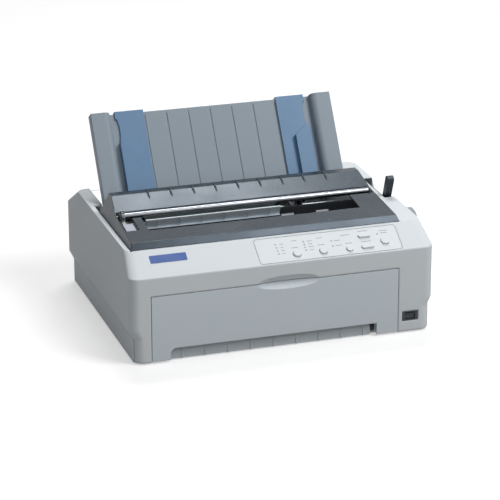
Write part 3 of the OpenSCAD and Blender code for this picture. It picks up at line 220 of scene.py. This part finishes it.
def makeDrawnLines():
    # lengthwise draw marks of rolled or ground metal; they run along X
    group, taken, given = newGroup("drawnLines", [("Pitch mm", 0.5)],
                                   [("Height", "NodeSocketFloat"), ("Tone", "NodeSocketFloat")])
    where = objectPlace(group)
    scale = scaleFrom(group, taken.outputs["Pitch mm"])
    stretched = addNode(group, "ShaderNodeMapping", {"Vector": where, "Scale": drawn["stretch"]})
    lines = addNode(group, "ShaderNodeTexNoise", {
        "Vector": stretched.outputs["Vector"], "Scale": scale, "Detail": 2.0, "Roughness": 0.7})
    cloud = addNode(group, "ShaderNodeTexNoise", {
        "Vector": where, "Scale": drawn["cloudScale"], "Detail": 5.0})
    tone = spread(group, cloud.outputs["Fac"], *drawn["toneBand"])
    group.links.new(lines.outputs["Fac"], given.inputs["Height"])
    group.links.new(tone, given.inputs["Tone"])
    return group


mouldGrain = makeMouldGrain()
softEdge = makeSoftEdge()
dustFilm = makeDustFilm()
hairlines = makeHairlines()
drawnLines = makeDrawnLines()
print("shared shader groups ready")


def newMaterial(name):
    material = bpy.data.materials.new(name)
    material.use_nodes = True
    tree = material.node_tree
    return material, tree, tree.nodes["Principled BSDF"]


def opaque(colour):
    return tuple(colour[:3]) + (1.0,)


def tinted(colour, factor):
    # the colour made lighter or darker, kept within white
    return opaque([min(1.0, c * factor) for c in colour[:3]])


def addBump(tree, shader, height, strength, distance, normal=None):
    # the distance is in metres
    values = {"Strength": strength, "Distance": distance, "Height": height}
    if normal is not None:
        values["Normal"] = normal
    bump = addNode(tree, "ShaderNodeBump", values)
    tree.links.new(bump.outputs["Normal"], shader.inputs["Normal"])


# what all the plastics share; the grain's depth is in metres for each millimetre of grain
plastic = {"ior": 1.46, "speckTone": 0.72, "roughSpread": 0.05, "dustRough": 0.45,
           "scratchLength": 16.0, "grainDepth": 0.0002}


def mouldedPlastic(name, look):
    # spark-eroded plastic with worn edges, specks and dust
    material, tree, shader = newMaterial(name)
    colour = opaque(look["colour"])
    grain = useGroup(tree, mouldGrain, {"Grain mm": look["grain"], "Mottle mm": look["mottle"]})
    edge = useGroup(tree, softEdge, {"Radius mm": look["edge"]})
    dust = useGroup(tree, dustFilm, {"Patch mm": look["dustPatch"], "Cover": look["dust"]})
    tone = blendColour(tree, grain.outputs["Mottle"], tinted(colour, 1 - look["variation"]),
                       tinted(colour, 1 + look["variation"]))
    speck = maths(tree, "MULTIPLY", grain.outputs["Speck"], look["speck"])
    tone = blendColour(tree, speck, tone, tinted(colour, plastic["speckTone"]))
    worn = maths(tree, "MULTIPLY", edge.outputs["Edge"], look["wear"])
    tone = blendColour(tree, worn, tone, tinted(colour, look["wearTone"]))
    tone = blendColour(tree, dust.outputs["Mask"], tone, opaque(look["dustColour"]))
    tree.links.new(tone, shader.inputs["Base Color"])
    rough = spread(tree, grain.outputs["Mottle"], 0.0, 1.0,
                   look["roughness"] - plastic["roughSpread"],
                   look["roughness"] + plastic["roughSpread"])
    if look.get("scratches"):
        marks = useGroup(tree, hairlines, {"Length mm": plastic["scratchLength"],
                                           "Amount": look["scratches"]})
        rough = maths(tree, "ADD", rough, marks.outputs["Mask"], True)
    dusty = maths(tree, "MULTIPLY", dust.outputs["Mask"], plastic["dustRough"])
    tree.links.new(maths(tree, "ADD", rough, dusty, True), shader.inputs["Roughness"])
    addBump(tree, shader, grain.outputs["Height"], look["bump"],
            look["grain"] * plastic["grainDepth"], edge.outputs["Normal"])
    shader.inputs["IOR"].default_value = plastic["ior"]
    shader.inputs["Specular IOR Level"].default_value = look["specular"]
    if "shine" in look:
        shader.inputs["Specular Tint"].default_value = opaque(look["shine"])
    return material


# what the metals share; lineDepth is in metres
metal = {"wornTone": 1.12, "cellShare": 0.35, "cellTone": 0.78, "lineDepth": 0.00005,
         "lineBand": (0.3, 0.7)}


def ruledMetal(name, look):
    # rolled or ground metal with draw marks, and zinc cells where the look has a spangle size
    material, tree, shader = newMaterial(name)
    colour = opaque(look["colour"])
    lines = useGroup(tree, drawnLines, {"Pitch mm": look["pitch"]})
    edge = useGroup(tree, softEdge, {"Radius mm": look["edge"]})
    tone = blendColour(tree, lines.outputs["Tone"], tinted(colour, 1 - look["variation"]), colour)
    worn = maths(tree, "MULTIPLY", edge.outputs["Edge"], look["wear"])
    tone = blendColour(tree, worn, tone, tinted(colour, metal["wornTone"]))
    if look.get("spangle"):
        where = objectPlace(tree)
        cells = addNode(tree, "ShaderNodeTexVoronoi",
                        {"Vector": where, "Scale": mmPerMetre / look["spangle"]})
        grey = addNode(tree, "ShaderNodeSeparateColor", {"Color": cells.outputs["Color"]})
        share = maths(tree, "MULTIPLY", grey.outputs[0], metal["cellShare"])
        tone = blendColour(tree, share, tone, tinted(colour, metal["cellTone"]))
    tree.links.new(tone, shader.inputs["Base Color"])
    rough = spread(tree, lines.outputs["Height"], *metal["lineBand"],
                   look["roughness"] - look["streak"], look["roughness"] + look["streak"])
    tree.links.new(rough, shader.inputs["Roughness"])
    addBump(tree, shader, lines.outputs["Height"], look["bump"], metal["lineDepth"],
            edge.outputs["Normal"])
    shader.inputs["Metallic"].default_value = look["metallic"]
    return material


# Finishes; grain, mottle, edge, dustPatch, pitch and spangle are sizes in millimetres

caseLook = {
    "colour": (0.700, 0.745, 0.775), "variation": 0.012, "roughness": 0.60, "specular": 0.35,
    "grain": 0.9, "mottle": 90.0, "bump": 0.22, "speck": 0.10, "edge": 3.2,
    "wear": 0.25, "wearTone": 1.06, "dust": 0.05, "dustPatch": 50.0,
    "dustColour": (0.60, 0.61, 0.60),
}
caseShell = mouldedPlastic("caseShell", caseLook)

# the front cover takes the case's plastic made slightly darker and bluer: painted shade for its
# face that looks to the front
doorShadedLook = dict(caseLook, colour=(0.665, 0.730, 0.775), mottle=120.0, edge=1.2, grain=0.8)
frontDoorShaded = mouldedPlastic("frontDoorShaded", doorShadedLook)

guideLook = {
    "colour": (0.275, 0.330, 0.385), "variation": 0.03, "roughness": 0.52, "specular": 0.4,
    "grain": 0.7, "mottle": 70.0, "bump": 0.25, "speck": 0.15, "edge": 1.0,
    "wear": 0.35, "wearTone": 1.12, "dust": 0.08, "dustPatch": 40.0,
    "dustColour": (0.55, 0.57, 0.58),
}
guidePlastic = mouldedPlastic("guidePlastic", guideLook)

blueLook = {
    "colour": (0.103, 0.218, 0.375), "variation": 0.04, "roughness": 0.42, "specular": 0.5,
    "grain": 0.6, "mottle": 35.0, "bump": 0.15, "speck": 0.08, "edge": 0.8,
    "wear": 0.45, "wearTone": 1.3, "dust": 0.08, "dustPatch": 30.0,
    "dustColour": (0.45, 0.52, 0.60),
}
bluePlastic = mouldedPlastic("bluePlastic", blueLook)

smokeLook = {
    "colour": (0.024, 0.034, 0.046), "variation": 0.08, "roughness": 0.22, "specular": 0.34,
    "grain": 0.5, "mottle": 60.0, "bump": 0.04, "speck": 0.10, "edge": 1.8,
    "wear": 0.4, "wearTone": 2.2, "dust": 0.10, "dustPatch": 55.0,
    "dustColour": (0.22, 0.25, 0.28),
    "shine": (0.72, 0.86, 1.0), "scratches": 0.12,
}
smokePlastic = mouldedPlastic("smokePlastic", smokeLook)

darkLook = {
    "colour": (0.048, 0.056, 0.064), "variation": 0.10, "roughness": 0.45, "specular": 0.45,
    "grain": 0.6, "mottle": 30.0, "bump": 0.25, "speck": 0.15, "edge": 0.5,
    "wear": 0.45, "wearTone": 2.4, "dust": 0.12, "dustPatch": 25.0,
    "dustColour": (0.20, 0.21, 0.22),
}
darkPlastic = mouldedPlastic("darkPlastic", darkLook)

leverLook = dict(darkLook, colour=(0.022, 0.032, 0.048), roughness=0.38, edge=1.0, wearTone=2.8)
leverPlastic = mouldedPlastic("leverPlastic", leverLook)

panelLook = dict(caseLook, colour=(0.735, 0.775, 0.805), grain=0.5, bump=0.12, roughness=0.5,
                 edge=0.3)
panelSheet = mouldedPlastic("panelSheet", panelLook)

buttonLook = dict(caseLook, colour=(0.76, 0.79, 0.81), grain=0.5, bump=0.10, roughness=0.38,
                  edge=0.7, mottle=12.0, wear=0.3, wearTone=1.05, dust=0.02)
buttonPlastic = mouldedPlastic("buttonPlastic", buttonLook)

rampLook = dict(guideLook, colour=(0.600, 0.660, 0.690), edge=0.6)
rampPlastic = mouldedPlastic("rampPlastic", rampLook)

knobLook = dict(guideLook, colour=(0.30, 0.335, 0.365), edge=0.8, roughness=0.45)
knobPlastic = mouldedPlastic("knobPlastic", knobLook)

tabLook = dict(guideLook, colour=(0.44, 0.46, 0.52), roughness=0.40, edge=0.6, mottle=18.0)
lightPlastic = mouldedPlastic("lightPlastic", tabLook)

# pale plastic for the exit guide: painted light, its colour raised well above the tab plastic's to
# make up for the shade it sits in under the cover
exitPaintedLightLook = dict(guideLook, colour=(0.66, 0.74, 0.80), roughness=0.36, edge=0.5, mottle=24.0)
exitGuidePaintedLight = mouldedPlastic("exitGuidePaintedLight", exitPaintedLightLook)

nylonLook = {
    "colour": (0.74, 0.72, 0.64), "variation": 0.03, "roughness": 0.42, "specular": 0.5,
    "grain": 0.5, "mottle": 14.0, "bump": 0.10, "speck": 0.12, "edge": 0.25,
    "wear": 0.35, "wearTone": 0.75, "dust": 0.10, "dustPatch": 10.0,
    "dustColour": (0.42, 0.40, 0.36),
}
nylon = mouldedPlastic("nylon", nylonLook)

rubberLook = {
    "colour": (0.022, 0.022, 0.024), "variation": 0.15, "roughness": 0.72, "specular": 0.3,
    "grain": 0.9, "mottle": 25.0, "bump": 0.4, "speck": 0.2, "edge": 0.5,
    "wear": 0.5, "wearTone": 2.2, "dust": 0.35, "dustPatch": 14.0,
    "dustColour": (0.16, 0.16, 0.16),
}
rubber = mouldedPlastic("rubber", rubberLook)

badgeLook = {
    "colour": (0.060, 0.125, 0.370), "variation": 0.05, "roughness": 0.34, "specular": 0.5,
    "grain": 0.35, "mottle": 16.0, "bump": 0.08, "speck": 0.12, "edge": 0.4,
    "wear": 0.4, "wearTone": 1.7, "dust": 0.03, "dustPatch": 12.0,
    "dustColour": (0.5, 0.5, 0.55),
}
badgeEnamel = mouldedPlastic("badgeEnamel", badgeLook)

printLook = dict(caseLook, colour=(0.30, 0.325, 0.35), roughness=0.55, grain=0.3, mottle=3.0,
                 variation=0.10, edge=0.05, wear=0.0, speck=0.25)
printedInk = mouldedPlastic("printedInk", printLook)

chromeLook = {"colour": (0.250, 0.262, 0.280), "variation": 0.08, "roughness": 0.20,
              "streak": 0.06, "pitch": 0.4, "bump": 0.10, "edge": 0.3, "wear": 0.2, "metallic": 1.0}
chrome = ruledMetal("chrome", chromeLook)

steelLook = {"colour": (0.40, 0.412, 0.43), "variation": 0.12, "roughness": 0.44, "streak": 0.08,
             "pitch": 0.7, "bump": 0.2, "edge": 0.4, "wear": 0.4, "metallic": 1.0, "spangle": 4.5}
steel = ruledMetal("steel", steelLook)

motorLook = dict(steelLook, colour=(0.30, 0.31, 0.33), spangle=1.6, roughness=0.45)
motorSteel = ruledMetal("motorSteel", motorLook)


def lampFinish(name, look):
    # unlit indicator: tinted clear cap with a faint moulded lens inside
    material, tree, shader = newMaterial(name)
    grain = useGroup(tree, mouldGrain, {"Grain mm": look["grain"], "Mottle mm": look["mottle"]})
    colour = opaque(look["colour"])
    tone = blendColour(tree, grain.outputs["Mottle"], tinted(colour, look["darkTone"]),
                       tinted(colour, look["lightTone"]))
    tree.links.new(tone, shader.inputs["Base Color"])
    rough = spread(tree, grain.outputs["Height"], *look["heightBand"], *look["roughness"])
    tree.links.new(rough, shader.inputs["Roughness"])
    addBump(tree, shader, grain.outputs["Height"], look["bump"], look["depth"])
    return material


lampLook = {"colour": (0.40, 0.45, 0.41), "roughness": (0.2, 0.35), "heightBand": (0.2, 1.0),
            "grain": 0.5, "mottle": 2.0, "darkTone": 0.8, "lightTone": 1.15,
            "bump": 0.15, "depth": 0.0001}
lampCap = lampFinish("lampCap", lampLook)


def boardFinish(name, look):
    # solder mask with copper tracks showing through, and small bright pads
    material, tree, shader = newMaterial(name)
    where = objectPlace(tree)
    black, white = (0, 0, 0, 1), (1, 1, 1, 1)
    tracks = addNode(tree, "ShaderNodeTexBrick", {
        "Vector": where, "Scale": mmPerMetre / look["trackPitch"],
        "Color1": black, "Color2": black, "Mortar": white, "Mortar Size": look["trackWidth"],
        "Brick Width": look["trackLength"], "Row Height": look["trackGap"]}, {"offset": 0.5})
    pads = addNode(tree, "ShaderNodeTexVoronoi", {
        "Vector": where, "Scale": mmPerMetre / look["padPitch"], "Randomness": look["padScatter"]})
    padMask = spread(tree, pads.outputs["Distance"], *look["padEdge"])
    grain = useGroup(tree, mouldGrain, {"Grain mm": look["grain"], "Mottle mm": look["mottle"]})
    mask = opaque(look["mask"])
    tone = blendColour(tree, grain.outputs["Mottle"], tinted(mask, look["darkTone"]),
                       tinted(mask, look["lightTone"]))
    lines = maths(tree, "MULTIPLY", tracks.outputs["Fac"], look["trackShare"])
    tone = blendColour(tree, lines, tone, tinted(mask, look["trackTone"]))
    tone = blendColour(tree, padMask, tone, opaque(look["pad"]))
    # whatever stands on the board is moulded in dark plastic
    above = addNode(tree, "ShaderNodeSeparateXYZ", {"Vector": where}).outputs["Z"]
    parts = maths(tree, "GREATER_THAN", above, look["boardTop"] / mmPerMetre)
    tone = blendColour(tree, parts, tone, opaque(look["parts"]))
    padMask = maths(tree, "MULTIPLY", padMask, maths(tree, "SUBTRACT", 1.0, parts))
    tree.links.new(tone, shader.inputs["Base Color"])
    tree.links.new(maths(tree, "MULTIPLY", padMask, look["padMetallic"]), shader.inputs["Metallic"])
    tree.links.new(spread(tree, padMask, 0.0, 1.0, *look["roughness"]), shader.inputs["Roughness"])
    height = maths(tree, "ADD", tracks.outputs["Fac"], padMask)
    addBump(tree, shader, height, look["bump"], look["depth"])
    return material


# track sizes count in track pitches, the pads' edge in pad pitches, boardTop in millimetres
boardLook = {
    "mask": (0.030, 0.150, 0.070), "pad": (0.70, 0.66, 0.50), "parts": (0.055, 0.058, 0.062),
    "trackPitch": 10.0, "trackWidth": 0.035, "trackLength": 3.0, "trackGap": 0.25,
    "trackShare": 0.7, "trackTone": 1.9, "padPitch": 5.0, "padScatter": 0.35,
    "padEdge": (0.16, 0.12), "padMetallic": 0.9, "roughness": (0.32, 0.25), "boardTop": 13.75,
    "grain": 0.4, "mottle": 30.0, "darkTone": 0.85, "lightTone": 1.1, "bump": 0.5, "depth": 0.0001,
}
boardMask = boardFinish("boardMask", boardLook)


def windingFinish(name, look):
    # varnished windings and laminations: fine stacked layers
    material, tree, shader = newMaterial(name)
    where = objectPlace(tree)
    layers = addNode(tree, "ShaderNodeTexWave", {
        "Vector": where, "Scale": mmPerMetre / look["layer"], "Distortion": look["unevenness"],
        "Detail": 1.0},
        {"bands_direction": "Z", "wave_type": "BANDS"})
    grain = useGroup(tree, mouldGrain, {"Grain mm": look["grain"], "Mottle mm": look["mottle"]})
    colour = opaque(look["colour"])
    tone = blendColour(tree, layers.outputs["Fac"], tinted(colour, look["gapTone"]), colour)
    cloud = maths(tree, "MULTIPLY", grain.outputs["Mottle"], look["mottleShare"])
    tone = blendColour(tree, cloud, tone, tinted(colour, look["mottleTone"]))
    # the inlet behind the windings is moulded in dark plastic
    depth = addNode(tree, "ShaderNodeSeparateXYZ", {"Vector": where}).outputs["Y"]
    moulded = maths(tree, "GREATER_THAN", depth, look["inletFrom"] / mmPerMetre)
    tone = blendColour(tree, moulded, tone, opaque(look["inlet"]))
    tree.links.new(tone, shader.inputs["Base Color"])
    rough = spread(tree, grain.outputs["Mottle"], 0.0, 1.0, *look["roughness"])
    tree.links.new(rough, shader.inputs["Roughness"])
    addBump(tree, shader, layers.outputs["Fac"], look["bump"], look["depth"])
    metallic = maths(tree, "MULTIPLY", maths(tree, "SUBTRACT", 1.0, moulded), look["metallic"])
    tree.links.new(metallic, shader.inputs["Metallic"])
    return material


# layer and inletFrom are in millimetres
coreLook = {
    "colour": (0.24, 0.20, 0.12), "inlet": (0.035, 0.037, 0.040), "inletFrom": 130.0,
    "layer": 1.2, "unevenness": 0.6, "gapTone": 0.6, "mottleShare": 0.4, "mottleTone": 1.3,
    "roughness": (0.4, 0.6), "metallic": 0.4, "grain": 0.6, "mottle": 20.0,
    "bump": 0.5, "depth": 0.0003,
}
windingCore = windingFinish("windingCore", coreLook)
print("finishes ready:", len(bpy.data.materials))

# The finish that each piece of the solid model takes

finishOf = {
    "lower_case": caseShell, "upper_case": caseShell, "front_cover": frontDoorShaded,
    "front_paper_guide": rampPlastic, "control_panel": panelSheet, "status_lamps": lampCap,
    "printer_cover": smokePlastic, "tension_frame": darkPlastic, "exit_guide": exitGuidePaintedLight,
    "release_tab": lightPlastic, "tension_roller": chrome, "tension_idler_gear": nylon,
    "paper_guide": guidePlastic, "edge_guide_left": bluePlastic, "edge_guide_right": bluePlastic,
    "paper_release_lever": leverPlastic, "release_shaft": steel, "lever_bezel": darkPlastic,
    "platen": rubber, "platen_shaft": steel, "platen_knob": knobPlastic, "platen_gear": nylon,
    "feed_idler_gear": nylon, "feed_motor": motorSteel, "feed_pinion": nylon,
    "tractor_idler_front": nylon, "tractor_idler_rear": nylon, "tractor_shaft": steel,
    "tractor_support_shaft": steel, "tractor_left": darkPlastic, "tractor_right": darkPlastic,
    "tractor_lid_left": darkPlastic, "tractor_lid_right": darkPlastic,
    "sprocket_left": lightPlastic, "sprocket_right": lightPlastic,
    "side_frame_left": steel, "side_frame_right": steel, "front_beam": steel,
    "paper_chute": darkPlastic, "carriage_shaft": chrome, "carriage": darkPlastic,
    "print_head": motorSteel, "ribbon_cartridge": darkPlastic, "ribbon_guide": lightPlastic,
    "drive_belt": rubber, "carriage_motor": motorSteel, "motor_pulley": nylon,
    "idler_pulley": nylon, "main_board": boardMask, "power_unit": windingCore,
    "power_switch": darkPlastic, "switch_bezel": darkPlastic, "feet": rubber, "screws": steel,
}
for press in ("pause", "feed", "eject", "tear_off", "font", "pitch"):
    finishOf["button_" + press] = buttonPlastic


def dress(node, material):
    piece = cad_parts[node]
    if not piece.material_slots:
        piece.data.materials.append(material)
    for held in piece.material_slots:
        held.link = "OBJECT"
        held.material = material


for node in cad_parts:
    dress(node, finishOf[node])
print("solid pieces dressed:", len(finishOf))


# Small pieces that only the looks need; every length is in millimetres

def meshPiece(name, parts, material, bevel=0.0):
    # one mesh from closed parts, riding on the case
    corners, faces = [], []
    for partCorners, partFaces in parts:
        start = len(corners)
        corners += partCorners
        faces += [[start + i for i in face] for face in partFaces]
    data = bpy.data.meshes.new(name)
    data.from_pydata([tuple(c) for c in corners], [], faces)
    work = bmesh.new()
    work.from_mesh(data)
    bmesh.ops.recalc_face_normals(work, faces=work.faces)
    work.to_mesh(data)
    work.free()
    data.materials.append(material)
    piece = bpy.data.objects.new(name, data)
    bpy.context.scene.collection.objects.link(piece)
    if bevel:
        rounding = piece.modifiers.new("rounding", "BEVEL")
        rounding.width = bevel / mmPerMetre
        rounding.segments = 3
        rounding.limit_method = "ANGLE"
    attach(piece, "case")


def roundedLoop(width, height, radius, steps=6):
    # outline of a rounded rectangle round its middle
    loop = []
    for cx, cy, start in ((1, 1, 0), (-1, 1, 90), (-1, -1, 180), (1, -1, 270)):
        for i in range(steps + 1):
            turn = math.radians(start + 90 * i / steps)
            loop.append((cx * (width / 2 - radius) + radius * math.cos(turn),
                         cy * (height / 2 - radius) + radius * math.sin(turn)))
    return loop


def slab(loop, low, high, spot):
    # closed prism between two heights; spot turns (a, b, height) into a point
    n = len(loop)
    corners = [spot(a, b, low) for a, b in loop] + [spot(a, b, high) for a, b in loop]
    faces = [list(range(n))[::-1], list(range(n, 2 * n))]
    faces += [[i, (i + 1) % n, n + (i + 1) % n, n + i] for i in range(n)]
    return corners, faces


def slopeSlab(loop, x, up, levels):
    # prism on the sloped strip, between two levels out of it
    return slab(loop, levels[0], levels[1], lambda a, b, h: onSlope(x + a, up + b, h))


def rearSlab(size, radius, x, z, depths, steps=3):
    # rounded bar along Y, between two depths of the housing
    loop = roundedLoop(size[0], size[1], radius, steps)
    return slab(loop, depths[0], depths[1], lambda a, b, h: place(x + a, h, z + b))


badge = {"left": -172.0, "right": -123.6, "low": 23.2, "high": 35.3, "radius": 1.0,
         "levels": (-0.3, 0.55), "bevel": 0.22}


def makeBadge():
    # bare plate on the sloped strip
    width, height = badge["right"] - badge["left"], badge["high"] - badge["low"]
    midX = (badge["left"] + badge["right"]) / 2
    midUp = (badge["low"] + badge["high"]) / 2
    loop = roundedLoop(width, height, badge["radius"])
    meshPiece("badgePlate", [slopeSlab(loop, midX, midUp, badge["levels"])], badgeEnamel,
              bevel=badge["bevel"])


panelPrint = {
    "x": 64.7, "up": 22.25, "width": 194.2, "height": 40.7, "radius": 4.6, "line": 0.55,
    "lineLevels": (-0.1, 0.048),
    "strokeHeight": 0.8, "strokeRadius": 0.35, "strokeLevels": (0.02, 0.18),
    "strokes": [  # sideways place, place up the slope, length
        (3.0, 30.7, 5.0), (3.0, 25.8, 4.0), (3.0, 20.9, 5.5), (3.0, 16.0, 4.5),
        (19.0, 23.0, 9.0), (41.0, 31.0, 7.0), (41.0, 26.4, 6.0), (41.0, 21.8, 7.5),
        (41.0, 17.2, 5.5), (55.0, 23.0, 9.0), (55.0, 34.0, 8.0), (21.0, 34.0, 7.0),
        (78.0, 27.0, 8.0), (78.0, 19.0, 8.0), (92.0, 20.5, 9.0), (90.0, 34.0, 12.0),
        (115.6, 37.2, 13.0), (115.6, 20.4, 13.0), (143.0, 34.6, 11.0), (143.0, 31.0, 9.0),
    ],
}


def makePanelPrint():
    # printed outline round the panel, with plain strokes on it
    line = panelPrint["line"]
    outer = roundedLoop(panelPrint["width"], panelPrint["height"], panelPrint["radius"], 8)
    inner = roundedLoop(panelPrint["width"] - 2 * line, panelPrint["height"] - 2 * line,
                        panelPrint["radius"] - line, 8)
    n = len(outer)
    corners = []
    for level in panelPrint["lineLevels"]:
        for loop in (outer, inner):
            corners += [onSlope(panelPrint["x"] + a, panelPrint["up"] + b, level) for a, b in loop]
    faces = []
    for i in range(n):
        j = (i + 1) % n
        faces += [[2 * n + i, 2 * n + j, 3 * n + j, 3 * n + i], [i, n + i, n + j, j],
                  [i, j, 2 * n + j, 2 * n + i], [n + i, 3 * n + i, 3 * n + j, n + j]]
    meshPiece("panelOutline", [(corners, faces)], printedInk)
    strokes = []
    for x, up, length in panelPrint["strokes"]:
        loop = roundedLoop(length, panelPrint["strokeHeight"], panelPrint["strokeRadius"], 3)
        strokes.append(slopeSlab(loop, x, up, panelPrint["strokeLevels"]))
    meshPiece("panelStrokes", strokes, printedInk)


inlet = {"x": -148.0, "z": 21.0, "blade": (1.6, 5.0), "radius": 0.6, "depths": (144.0, 157.0),
         "blades": ((-7.0, -1.6), (7.0, -1.6), (0.0, 2.8)), "bevel": 0.3}


def makeInletBlades():
    # three contact blades inside the mains inlet
    blades = []
    for dx, dz in inlet["blades"]:
        x, z = inlet["x"] + dx, inlet["z"] + dz
        blades.append(rearSlab(inlet["blade"], inlet["radius"], x, z, inlet["depths"]))
    meshPiece("inletBlades", blades, steel, bevel=inlet["bevel"])


# parallel socket, with its two rows of contacts, and the small socket beside it
socket = {
    "x": 78.0, "z": 20.2, "tongue": (38.0, 2.6), "radius": 0.6, "depths": (150.8, 159.5),
    "contacts": 18, "contact": (1.0, 0.34), "contactRadius": 0.12, "contactOff": 0.12,
    "contactDepths": (151.2, 158.9), "endGap": 2.0, "bevel": 0.25,
}
smallSocket = {"x": 128.0, "z": 20.6, "tongue": (5.4, 2.6), "radius": 0.3, "depths": (150.8, 158.5)}


def makeSocketTongues():
    tongues = [rearSlab(kind["tongue"], kind["radius"], kind["x"], kind["z"], kind["depths"])
               for kind in (socket, smallSocket)]
    meshPiece("socketTongue", tongues, lightPlastic, bevel=socket["bevel"])
    width, height = socket["tongue"]
    step = (width - 2 * socket["endGap"]) / (socket["contacts"] - 1)
    contacts = []
    for i in range(socket["contacts"]):
        x = socket["x"] - width / 2 + socket["endGap"] + i * step
        for side in (-1, 1):
            z = socket["z"] + side * (height / 2 + socket["contactOff"])
            contacts.append(rearSlab(socket["contact"], socket["contactRadius"], x, z,
                                     socket["contactDepths"], 2))
    meshPiece("socketContacts", contacts, chrome)


apron = {
    "left": -151.5, "right": 119.0, "rib": 1.4, "ribPitch": 30.7, "ribMiddle": -13.5,
    "ribsEachSide": 4, "bevel": 0.3,
    # both profiles: back from the housing's front face, height
    "profile": [(6.2, 1.6), (8.4, 1.6), (9.9, 5.6), (9.9, 12.0), (11.6, 17.8), (10.4, 18.6),
                (6.2, 12.0)],
    "ribProfile": [(4.4, 1.6), (7.4, 1.6), (7.4, 13.0), (10.8, 18.4), (9.4, 19.4), (4.4, 12.4)],
}


def makeApron():
    # ribbed face of the front paper guide, carried on down to just above the desk
    strips = [(apron["left"], apron["right"], apron["profile"])]
    for i in range(-apron["ribsEachSide"], apron["ribsEachSide"] + 1):
        middle = apron["ribMiddle"] + i * apron["ribPitch"]
        strips.append((middle - apron["rib"] / 2, middle + apron["rib"] / 2, apron["ribProfile"]))
    parts = []
    for left, right, profile in strips:
        loop = [(housing["frontY"] + back, up) for back, up in profile]
        parts.append(slab(loop, left, right, lambda a, b, h: place(h, a, b)))
    meshPiece("rampApron", parts, rampPlastic, bevel=apron["bevel"])


makeBadge()
makeApron()
makePanelPrint()
makeInletBlades()
makeSocketTongues()
print("small pieces made")

# Floor, light and camera, in metres and watts


def seenDirectly(tree):
    # 1 where the camera, a mirror-like face or a clear piece looks, 0 for light that bounces
    path = addNode(tree, "ShaderNodeLightPath")
    seen = maths(tree, "MAXIMUM", path.outputs["Is Camera Ray"], path.outputs["Is Glossy Ray"])
    return maths(tree, "MAXIMUM", seen, path.outputs["Is Transmission Ray"])


ground = {"size": 14.0, "bounce": 0.28, "seen": 0.62, "glow": 0.50}


def makeFloor():
    half = ground["size"] / 2
    corners = [(sx * half, sy * half, 0.0) for sx, sy in ((-1, -1), (1, -1), (1, 1), (-1, 1))]
    data = bpy.data.meshes.new("floor")
    data.from_pydata(corners, [], [[0, 1, 2, 3]])
    floor = bpy.data.objects.new("floor", data)
    bpy.context.scene.collection.objects.link(floor)
    material = bpy.data.materials.new("paleFloor")
    material.use_nodes = True
    tree = material.node_tree
    tree.nodes.clear()
    seen = seenDirectly(tree)
    tone = blendColour(tree, seen, opaque([ground["bounce"]] * 3), opaque([ground["seen"]] * 3))
    diffuse = addNode(tree, "ShaderNodeBsdfDiffuse", {"Color": tone})
    glow = addNode(tree, "ShaderNodeEmission", {
        "Color": (1.0, 1.0, 1.0, 1.0), "Strength": maths(tree, "MULTIPLY", seen, ground["glow"])})
    both = addNode(tree, "ShaderNodeAddShader", {0: diffuse.outputs[0], 1: glow.outputs[0]})
    end = tree.nodes.new("ShaderNodeOutputMaterial")
    tree.links.new(both.outputs[0], end.inputs["Surface"])
    data.materials.append(material)


sky = {"bounce": 0.20, "seen": 1.0}


def makeWorld():
    world = bpy.data.worlds.new("studioWorld")
    bpy.context.scene.world = world
    world.use_nodes = True
    tree = world.node_tree
    tree.nodes.clear()
    strength = spread(tree, seenDirectly(tree), 0.0, 1.0, sky["bounce"], sky["seen"])
    light = addNode(tree, "ShaderNodeBackground", {
        "Color": (1.0, 1.0, 1.0, 1.0), "Strength": strength})
    end = tree.nodes.new("ShaderNodeOutputWorld")
    tree.links.new(light.outputs[0], end.inputs["Surface"])


# each lamp aims at a point in the printer's middle, aimHeight above the floor
aimHeight = 0.1
lamps = {
    "overheadSoftBox": {"toward": (0.14, 0.44, 0.87), "distance": 3.2, "size": (1.25, 0.80),
                        "power": 41.0},
    "nearSoftBox": {"toward": (0.44, -0.42, 0.82), "distance": 3.0, "size": (1.1, 1.1),
                    "power": 50.0},
    "frontSoftBox": {"toward": (-0.30, -0.90, 0.30), "distance": 3.0, "size": (1.6, 1.6),
                     "power": 9.0},
}


def makeLamp(name, setup):
    data = bpy.data.lights.new(name, "AREA")
    data.shape = "RECTANGLE"
    data.size, data.size_y = setup["size"]
    data.energy = setup["power"]
    lamp = bpy.data.objects.new(name, data)
    toward = Vector(setup["toward"]).normalized()
    lamp.location = toward * setup["distance"] + Vector((0, 0, aimHeight))
    lamp.rotation_mode = "QUATERNION"
    lamp.rotation_quaternion = toward.to_track_quat("Z", "Y")
    bpy.context.scene.collection.objects.link(lamp)


# lens and sensor are in millimetres, the roll is in degrees
view = {"from": (-0.9301, -2.8765, 1.1907), "at": (-0.00196, 0.0, 0.07522), "roll": -0.08,
        "lens": 172.95, "sensor": 36.0, "clip": (0.05, 60.0)}


def makeCamera():
    data = bpy.data.cameras.new("camera")
    data.lens = view["lens"]
    data.sensor_width = view["sensor"]
    data.clip_start, data.clip_end = view["clip"]
    camera = bpy.data.objects.new("camera", data)
    start, aim = Vector(view["from"]), Vector(view["at"])
    camera.location = start
    camera.rotation_mode = "QUATERNION"
    roll = Matrix.Rotation(math.radians(view["roll"]), 4, "Z").to_quaternion()
    camera.rotation_quaternion = (start - aim).to_track_quat("Z", "Y") @ roll
    bpy.context.scene.collection.objects.link(camera)
    bpy.context.scene.camera = camera


makeFloor()
makeWorld()
for name, setup in lamps.items():
    makeLamp(name, setup)
makeCamera()
bpy.context.scene.view_settings.view_transform = "Standard"
print("floor, light and camera ready")
